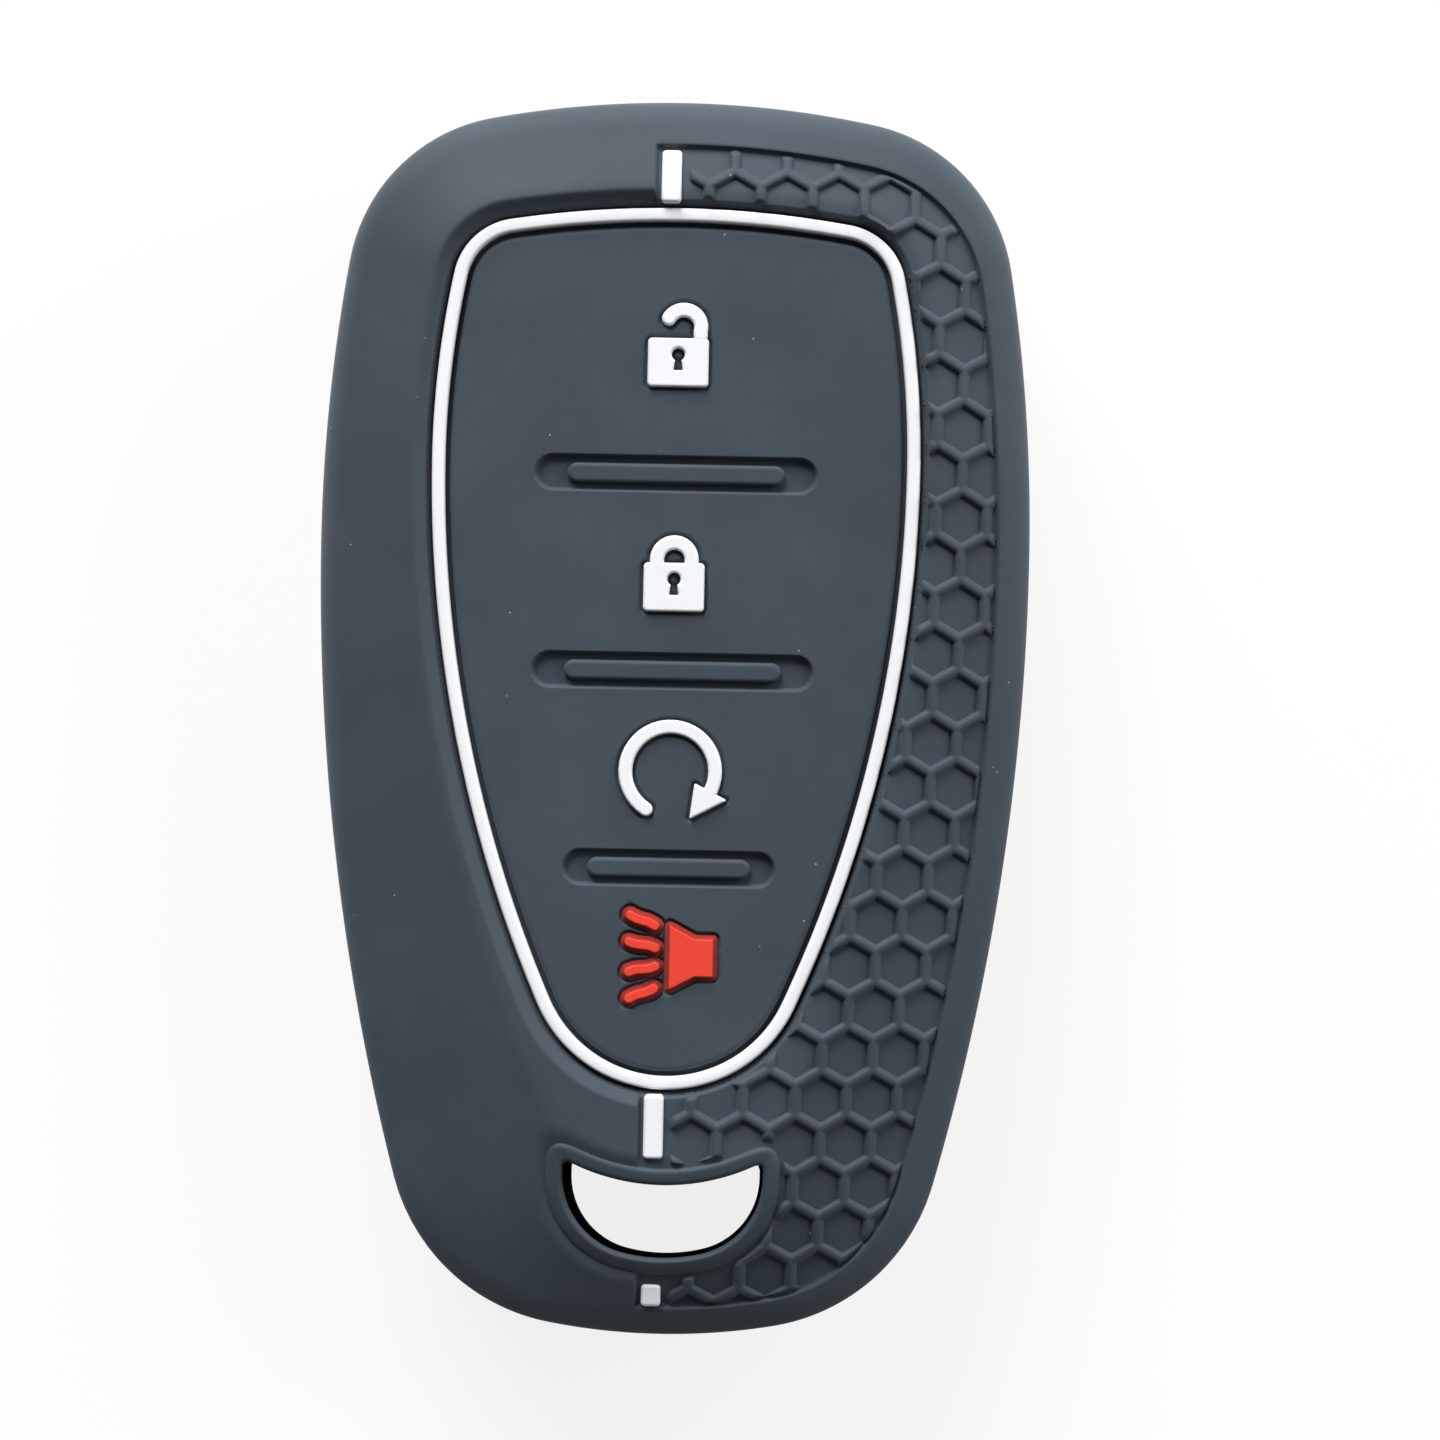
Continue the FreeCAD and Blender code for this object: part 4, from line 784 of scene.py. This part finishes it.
# %% Outline ring
BEAD_FLAT, BEAD_ROUND, BEAD_SHOULDER, BEAD_TOP, BEAD_STEP = 0.225, 0.20, 16.75, 16.97, 0.22
fine_x, fine_y = at(RING, turns, 0.0)
ring_turn = spaced(turns, np.hypot(np.diff(fine_x), np.diff(fine_y)), BEAD_STEP)[:-1, None]
quarter = np.radians(np.arange(0, 91, 15))
bead_out = np.concatenate([[0.40, 0.425], BEAD_FLAT + BEAD_ROUND * np.cos(quarter), [0.0]])
bead_z = np.concatenate([[15.7, 16.4], BEAD_SHOULDER + BEAD_ROUND * np.sin(quarter), [BEAD_TOP]])
bead_out = np.concatenate([bead_out, -bead_out[-2::-1]])
bead_z = np.concatenate([bead_z, bead_z[-2::-1]])
ring_x, ring_y = at(RING, ring_turn, bead_out)
ring_z = np.broadcast_to(bead_z, ring_x.shape)
ring_points = np.stack([ring_x.ravel(), ring_y.ravel(), ring_z.ravel()], axis=1)
ring_faces = grid_faces(closed_grid(ring_x.shape))
ring_bead = put_piece("ring_bead", ring_points, ring_faces, white, crease=60.0)
seat(ring_bead, "cover", "white_silicone", "outline_ring")


# %% [markdown]
# ## Symbols as fields
# The symbols are flat figures of even height. Text or curves could be extruded, but a
# field also tells how far a point of the pad is from the figure, and that gives the
# narrow moat that the mould leaves round each one.

# %% Simple fields
def plate(x, y, centre, half, radius):
    """A rectangle with rounded corners: the distance to a smaller rectangle, less the radius."""
    across = np.abs(x - centre[0]) - half[0] + radius
    up = np.abs(y - centre[1]) - half[1] + radius
    outside = np.hypot(np.maximum(across, 0), np.maximum(up, 0))
    return outside + np.minimum(np.maximum(across, up), 0) - radius


def segment(x, y, start, end):
    """The distance to a straight line between two points, at the share t of the way along it."""
    (ax, ay), (bx, by) = start, end
    dx, dy = bx - ax, by - ay
    t = np.clip(((x - ax) * dx + (y - ay) * dy) / (dx * dx + dy * dy), 0.0, 1.0)
    return np.hypot(x - ax - t * dx, y - ay - t * dy)


def bar(x, y, path, half):
    """A stroke with round ends: the least distance to a path's segments, less half its width."""
    best = np.full(np.shape(x), 99.0)
    for start, end in zip(path[:-1], path[1:]):
        best = np.minimum(best, segment(x, y, start, end))
    return best - half


def polygon(x, y, corners, radius):
    """A many-sided figure with rounded corners: the distance to its sides, below nought inside,
    less the radius. A point is inside if a line to its right crosses an odd number of sides."""
    best = np.full(np.shape(x), 99.0)
    inside = np.zeros(np.shape(x), bool)
    for start, end in zip(corners, corners[1:] + corners[:1]):
        best = np.minimum(best, segment(x, y, start, end))
        (ax, ay), (bx, by) = start, end
        crosses = (ay > y) != (by > y)
        rise = by - ay if by != ay else 1e-9
        inside ^= crosses & (x < ax + (y - ay) * (bx - ax) / rise)
    return np.where(inside, -best, best) - radius


def arc_path(cx, cy, radius, first, last, count=32):
    """Points along an arc between two angles in degrees."""
    turn = np.radians(np.linspace(first, last, count))
    return list(zip(cx + radius * np.cos(turn), cy + radius * np.sin(turn)))


print("simple fields: plate, bar and polygon")

# %% Figures
UNLOCK_UP, LOCK_UP, START_UP, PANIC_UP = 23.4, 8.65, -3.45, -15.65
SHACKLE, SHACKLE_HALF = 1.14, 0.46
ARROW, ARROW_HALF, HEAD_HALF, HEAD_LONG = 2.95, 0.45, 1.08, 2.05
WAVE_BEND, WAVE_SWEEP, WAVE_PITCH, WAVE_HALF = 2.2, 23.0, 1.6, 0.36


def padlock(x, y, up, bow):
    """A body with a keyhole, joined to its shackle."""
    body = plate(x, y, (0.0, up), (2.0, 1.6), 0.28)
    eye = np.hypot(x, y - up - 0.525) - 0.43
    slit = [(-0.09, up + 0.5), (-0.25, up - 0.45), (0.25, up - 0.45), (0.09, up + 0.5)]
    keyhole = np.minimum(eye, polygon(x, y, slit, 0.06))
    return np.maximum(np.minimum(body, bar(x, y, bow, SHACKLE_HALF)), -keyhole)


def unlock_mark(x, y):
    """A padlock whose shackle is raised, moved aside and open on the left."""
    return padlock(x, y, UNLOCK_UP, [(1.45, 25.2)] + arc_path(0.33, 25.72, SHACKLE, -14, 150))


def lock_mark(x, y):
    """A padlock whose shackle stands on the body with both legs."""
    bow = [(SHACKLE, 10.0)] + arc_path(0.0, 10.45, SHACKLE, 0, 180) + [(-SHACKLE, 10.0)]
    return padlock(x, y, LOCK_UP, bow)


def start_mark(x, y):
    """A round arrow: an arc that runs clockwise from its foot to a three-sided head."""
    head, aim = math.radians(-27.0), math.radians(-127.0)
    inner, middle, outer = (
        (radius * math.cos(head), START_UP + radius * math.sin(head))
        for radius in (ARROW - HEAD_HALF, ARROW, ARROW + HEAD_HALF)
    )
    tip = (middle[0] + HEAD_LONG * math.cos(aim), middle[1] + HEAD_LONG * math.sin(aim))
    shaft = bar(x, y, arc_path(0.0, START_UP, ARROW, -24, 238), ARROW_HALF)
    return np.minimum(shaft, polygon(x, y, [inner, tip, outer], 0.08))


def horn_mark(x, y):
    """A horn: a mouth on the left that narrows to a square back."""
    sides = [(0.2, -17.7), (1.82, -16.85), (3.0, -16.85), (3.0, -14.45), (1.82, -14.45), (0.2, -13.6)]
    return polygon(x, y, sides, 0.1)


def wave_mark(number):
    """A wave is a bar along two opposite bends. The outer pair leans more than the inner pair."""
    place = 1.5 - number
    bend = np.radians(np.linspace(0.0, WAVE_SWEEP, 9))
    run_x, run_y = WAVE_BEND * np.sin(bend), WAVE_BEND - WAVE_BEND * np.cos(bend)
    run_x = np.concatenate([-run_x[:0:-1], run_x])
    run_y = np.concatenate([-run_y[:0:-1], run_y]) * (-1.0 if place > 0 else 1.0)
    lean = math.radians(11.0 if abs(place) > 1 else 1.0) * -math.copysign(1.0, place)
    middle = 0.1 - 0.5 - WAVE_BEND * math.sin(math.radians(WAVE_SWEEP)) - 0.37
    path_x = middle + run_x * math.cos(lean) - run_y * math.sin(lean)
    path_y = PANIC_UP + WAVE_PITCH * place + run_x * math.sin(lean) + run_y * math.cos(lean)
    path = list(zip(path_x, path_y))
    return lambda x, y: bar(x, y, path, WAVE_HALF)


waves = [wave_mark(number) for number in range(4)]
print("figures: two padlocks, a round arrow, a horn and", len(waves), "waves")

# %% Raised symbols
SYMBOL_FOOT, SYMBOL_TOP, SYMBOL_ROUND, SYMBOL_STEP = 16.2, 16.95, 0.16, 0.05
RED_SPREAD, RED_EDGE, RED_RISE, RED_RUN = 0.21, 16.4, 0.55, 0.33
# Name, field, box round the figure, body, finish and CAD node.
SYMBOLS = [
    ("unlock_mark", unlock_mark, (-2.3, 2.3, 21.5, 27.7), "unlock_button", white, "unlock_symbol"),
    ("lock_mark", lock_mark, (-2.3, 2.3, 6.7, 12.4), "lock_button", white, "lock_symbol"),
    ("start_mark", start_mark, (-3.8, 4.0, -7.3, 0.3), "start_button", white, "start_symbol"),
    ("horn_mark", horn_mark, (-0.4, 3.6, -18.4, -12.9), "panic_button", red, "horn_symbol"),
]
SYMBOLS += [
    (f"wave_mark_{n}", wave, (-3.8, 0.3, -19.4, -11.9), "panic_button", red, f"sound_wave_{n}")
    for n, wave in enumerate(waves, start=1)
]


def sloped(x, y, depth):
    """A top with slanted sides, as the red figures have."""
    return RED_EDGE + RED_RISE * ease(0.0, RED_RUN, depth)


for name, field, box, body, finish, cad_node in SYMBOLS:
    if finish is red:
        finish_slot = "red_silicone"
        points, faces = stamp(lambda x, y: field(x, y) - RED_SPREAD, box, SYMBOL_STEP,
                              sloped, SYMBOL_FOOT)
    else:
        finish_slot = "white_silicone"
        points, faces = stamp(field, box, SYMBOL_STEP,
                              rounded(SYMBOL_TOP, SYMBOL_ROUND), SYMBOL_FOOT)
    symbol = put_piece(name, points, faces, finish, crease=50.0)
    seat(symbol, body, finish_slot, cad_node)

# %% [markdown]
# ## Marker bars and divider ridges
# Three white bars mark where the honeycomb begins, and a low black ridge lies in each
# recess between the pads. They are stamps as well, with rolled upper edges. The bars
# follow the slope of the face, the shortest one only a little.

# %% Marker bars
BAR_HALF, BAR_CORNER, BAR_ROUND, BAR_FOOT = 0.65, 0.28, 0.22, 0.3
# Name, lower end, upper end and the share of the face's slope that the bar follows.
BARS = [
    ("top", 33.825, 37.375, 1.0),
    ("middle", -28.825, -24.625, 1.0),
    ("bottom", -38.9, -37.4, 0.35),
]
for name, low, high, lean in BARS:
    centre, half = (-BAR_HALF, (low + high) / 2), (BAR_HALF, (high - low) / 2)

    def bar_height(x, y, depth):
        """The crest, with its slope along the bar times the lean, and a rolled edge."""
        crest = crest_height(x, centre[1] + lean * (y - centre[1]))
        return crest + rounded(0.0, BAR_ROUND)(x, y, depth)

    points, faces = stamp(lambda x, y: plate(x, y, centre, half, BAR_CORNER),
                          (-1.5, 0.2, low - 0.2, high + 0.2), 0.05, bar_height,
                          lambda x, y: face_height(x, y) - BAR_FOOT)
    marker = put_piece(f"{name}_bar", points, faces, white, crease=50.0)
    seat(marker, "cover", "white_silicone", f"{name}_marker")

# %% Divider ridges
RIDGE_HALF, RIDGE_ROUND, RIDGE_FOOT = 0.66, 0.28, 15.9
# Name, place along the cover, half length of the recess and half length of the ridge.
SLOTS = [("upper", 16.1, 8.07, 6.49), ("middle", 3.15, 8.07, 6.49), ("lower", -9.8, 5.795, 4.715)]
for name, up, _, ridge_run in SLOTS:
    points, faces = stamp(lambda x, y: bar(x, y, [(-ridge_run, up), (ridge_run, up)], RIDGE_HALF),
                          (-ridge_run - 0.8, ridge_run + 0.8, up - 0.8, up + 0.8), 0.07,
                          rounded(PAD_TOP, RIDGE_ROUND), RIDGE_FOOT)
    ridge = put_piece(f"{name}_ridge", points, faces, black, crease=50.0)
    seat(ridge, "cover", "black_silicone", f"divider_ridge_{name}")


# %% [markdown]
# ## Press pads
# The pads are one flexible skin. A press pushes the middle of a pad down while the
# skin at the dividers stays with the frame. Stiff pads would leave gaps, so the skin
# is eight strips, two for each pad, and neighbours share their end rows.

# %% Height of the pads
SLOT_HALF, SLOT_DEPTH, PAD_MOAT, RED_MOAT = 1.18, 0.55, 0.3, 0.15


def panel_height(x, y):
    """A flat skin less the divider recesses and a moat round every figure."""
    z = np.full(np.shape(x), PAD_TOP)
    for _, up, slot_run, _ in SLOTS:
        slot = bar(x, y, [(-slot_run, up), (slot_run, up)], SLOT_HALF)
        z = np.minimum(z, PAD_TOP - SLOT_DEPTH * ease(0.04, -0.16, slot))
    for _, field, _, _, finish, _ in SYMBOLS:
        wide = RED_MOAT if finish is red else 0.0
        z = np.minimum(z, PAD_TOP - PAD_MOAT * ease(0.27, 0.15, field(x, y) - wide))
    return z


def column_pace(share):
    """The step between columns at a share of the panel's half width, finest at the figures."""
    limits = [share < 0.32, share < 0.52, share < 0.70]
    return np.select(limits, [0.0046, 0.0068, 0.0058], 0.028)


ROLL, UNDER_RING = 0.35, 0.75
PANEL = -UNDER_RING - ROLL
CORNER_TURN, TIP_TURN = (RING[-2, 3] + RING[-2, 4]) / 2, -1.0
side_turn = ring_turns(3000)
side_x, side_y = at(RING, side_turn, PANEL)
half_row = paced(0.0, 1.0, column_pace)
COLUMNS = (np.concatenate([-half_row[:0:-1], half_row]) + 1) / 2
print("panel edge at the widest:", round(float(side_x.max()), 2), "mm,", len(COLUMNS), "columns")


# %% Grid of a strip
CROWDED, SPARSE = 0.06, 0.32


def patch(bottom, top, left, right, s, t):
    """A grid between four border lines: the two linear blends of opposite borders, less the
    bilinear blend of the four corners."""
    s, t = s[None, :, None], t[:, None, None]
    blend = (1 - t) * bottom[None] + t * top[None] + (1 - s) * left[:, None] + s * right[:, None]
    low, high = (1 - s) * bottom[0] + s * bottom[-1], (1 - s) * top[0] + s * top[-1]
    return blend - ((1 - t) * low + t * high)


def border(turn):
    """Points of the panel's edge where it faces the given angles."""
    return np.stack(at(RING, turn, PANEL), axis=1)


def cap_turns(first, last, share):
    """Facing angles along the rounded end of the panel, at shares of its length."""
    fine = np.linspace(first, last, 4000)
    x, y = at(RING, fine, PANEL)
    run = np.concatenate([[0.0], np.cumsum(np.hypot(np.diff(x), np.diff(y)))])
    return np.interp(share * run[-1], run, fine)


def strip_grid(low, high, dense):
    """Points of a strip between two heights, and the angle that each point of the panel's edge
    faces. None stands for the panel's rounded end. Rows crowd where a recess or a figure needs
    them. All strips have the same columns."""
    side_low = low if low is not None else float(at(RING, np.array(TIP_TURN), PANEL)[1])
    side_high = high if high is not None else float(at(RING, np.array(CORNER_TURN), PANEL)[1])

    def row_pace(y):
        crowded = np.any([(y > first) & (y < last) for first, last in dense], axis=0)
        return np.where(crowded, CROWDED, SPARSE)

    rows = paced(side_low, side_high, row_pace)
    turn = np.interp(rows, side_y, side_turn)
    facing_at = np.full((len(rows), len(COLUMNS)), np.nan)
    facing_at[:, 0], facing_at[:, -1] = np.pi - turn, turn
    right, left = border(turn), border(np.pi - turn)
    bottom = left[0] + (right[0] - left[0]) * COLUMNS[:, None]
    top = left[-1] + (right[-1] - left[-1]) * COLUMNS[:, None]
    if high is None:
        facing_at[-1] = cap_turns(math.pi - CORNER_TURN, CORNER_TURN, COLUMNS)
        top = border(facing_at[-1])
    if low is None:
        facing_at[0] = cap_turns(-math.pi - TIP_TURN, TIP_TURN, COLUMNS)
        on_left = facing_at[0] < -math.pi / 2
        bottom = border(np.where(on_left, facing_at[0] + 2 * math.pi, facing_at[0]))
    share = (rows - side_low) / (side_high - side_low)
    return patch(bottom, top, left, right, COLUMNS, share), facing_at


def crease_along(mesh, chosen):
    """Marks every edge between two chosen points as sharp."""
    sharp = np.empty(len(mesh.edges), dtype=bool)
    mesh.edges.foreach_get("use_edge_sharp", sharp)
    sharp |= np.isin(edge_ends(mesh), chosen).reshape(-1, 2).all(axis=1)
    mesh.edges.foreach_set("use_edge_sharp", sharp)


print("rows and columns of a strip:", strip_grid(3.15, 9.5, [(6.7, 9.5)])[1].shape)

# %% Strips of the panel
FOOT_LEVELS, UNDERSIDE = (15.28, 15.2, 14.9), 14.85


def panel_strip(name, low, high, dense, nodes):
    """A closed strip of the panel. Its edge is rolled over and has a foot under the ring. Towards
    its neighbours it ends in straight walls with sharp edges, so that the seam stays unseen."""
    spot, facing_at = strip_grid(low, high, dense)
    x, y = spot[..., 0].ravel(), spot[..., 1].ravel()
    z = panel_height(x, y)
    index = np.arange(x.size).reshape(facing_at.shape)
    loop = np.concatenate([index[0], index[1:, -1], index[-1, -2::-1], index[-2:0:-1, 0]])
    face = facing_at.ravel()[loop]
    lead = np.nan_to_num(np.stack([np.cos(face), np.sin(face)], axis=1))
    roll = np.radians([15.0, 30.0, 45.0, 60.0, 75.0, 90.0])
    outs = np.concatenate([ROLL * np.sin(roll), [ROLL, ROLL + UNDER_RING, ROLL + UNDER_RING]])
    heights = [z[loop] - drop for drop in ROLL * (1 - np.cos(roll))]
    heights += [np.full(len(loop), level) for level in FOOT_LEVELS]
    upper = np.stack([x, y, z], axis=1)
    lower = np.stack([x, y, np.full(x.size, UNDERSIDE)], axis=1)
    rings = [np.column_stack([upper[loop, :2] + o * lead, h]) for o, h in zip(outs, heights)]
    points = np.concatenate([upper] + rings + [lower])
    count, last = len(loop), x.size + len(rings) * len(loop)
    bands = [x.size + k * count + np.arange(count) for k in range(len(rings))]
    bands = np.stack([loop] + bands + [last + loop])
    bands = np.concatenate([bands, bands[:, :1]], axis=1)
    sheet, walls = grid_faces(index), grid_faces(bands)[:, [1, 0, 3, 2]]
    faces = np.concatenate([sheet, walls, sheet[:, ::-1] + last])
    piece = put_piece(name, points, faces, black, crease=75.0)
    wide, tall = index.shape[1] - 1, index.shape[0] - 1
    seams = [] if low is None else [index[0], bands[:, 0], bands[:, wide]]
    seams += [] if high is None else [index[-1], bands[:, wide + tall], bands[:, 2 * wide + tall]]
    crease_along(piece.data, np.concatenate(seams))
    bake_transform(piece)
    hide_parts(*nodes)


# Name, lower and upper border, where rows crowd, pad, start and end of the blend.
STRIPS = [
    ("unlock_skin_upper", 24.6, None, [(24.6, 27.9)], "unlock", 32.0, 27.6),
    ("unlock_skin_lower", 16.1, 24.6, [(16.1, 17.6), (21.4, 24.6)], "unlock", 17.6, 21.6),
    ("lock_skin_upper", 9.5, 16.1, [(9.5, 12.4), (14.6, 16.1)], "lock", 14.6, 12.2),
    ("lock_skin_lower", 3.15, 9.5, [(3.15, 4.65), (6.7, 9.5)], "lock", 4.6, 6.9),
    ("start_skin_upper", -3.45, 3.15, [(-3.45, 0.4), (1.65, 3.15)], "start", 1.7, 0.1),
    ("start_skin_lower", -9.8, -3.45, [(-9.8, -8.3), (-7.3, -3.45)], "start", -8.3, -7.0),
    ("panic_skin_upper", -15.65, -9.8, [(-15.65, -12.1), (-11.3, -9.8)], "panic", -11.2, -12.6),
    ("panic_skin_lower", None, -15.65, [(-19.2, -15.65)], "panic", -22.8, -18.9),
]
for name, low, high, dense, pad, start, end in STRIPS:
    panel_strip(name, low, high, dense, (f"{pad}_pad", f"{pad}_web"))
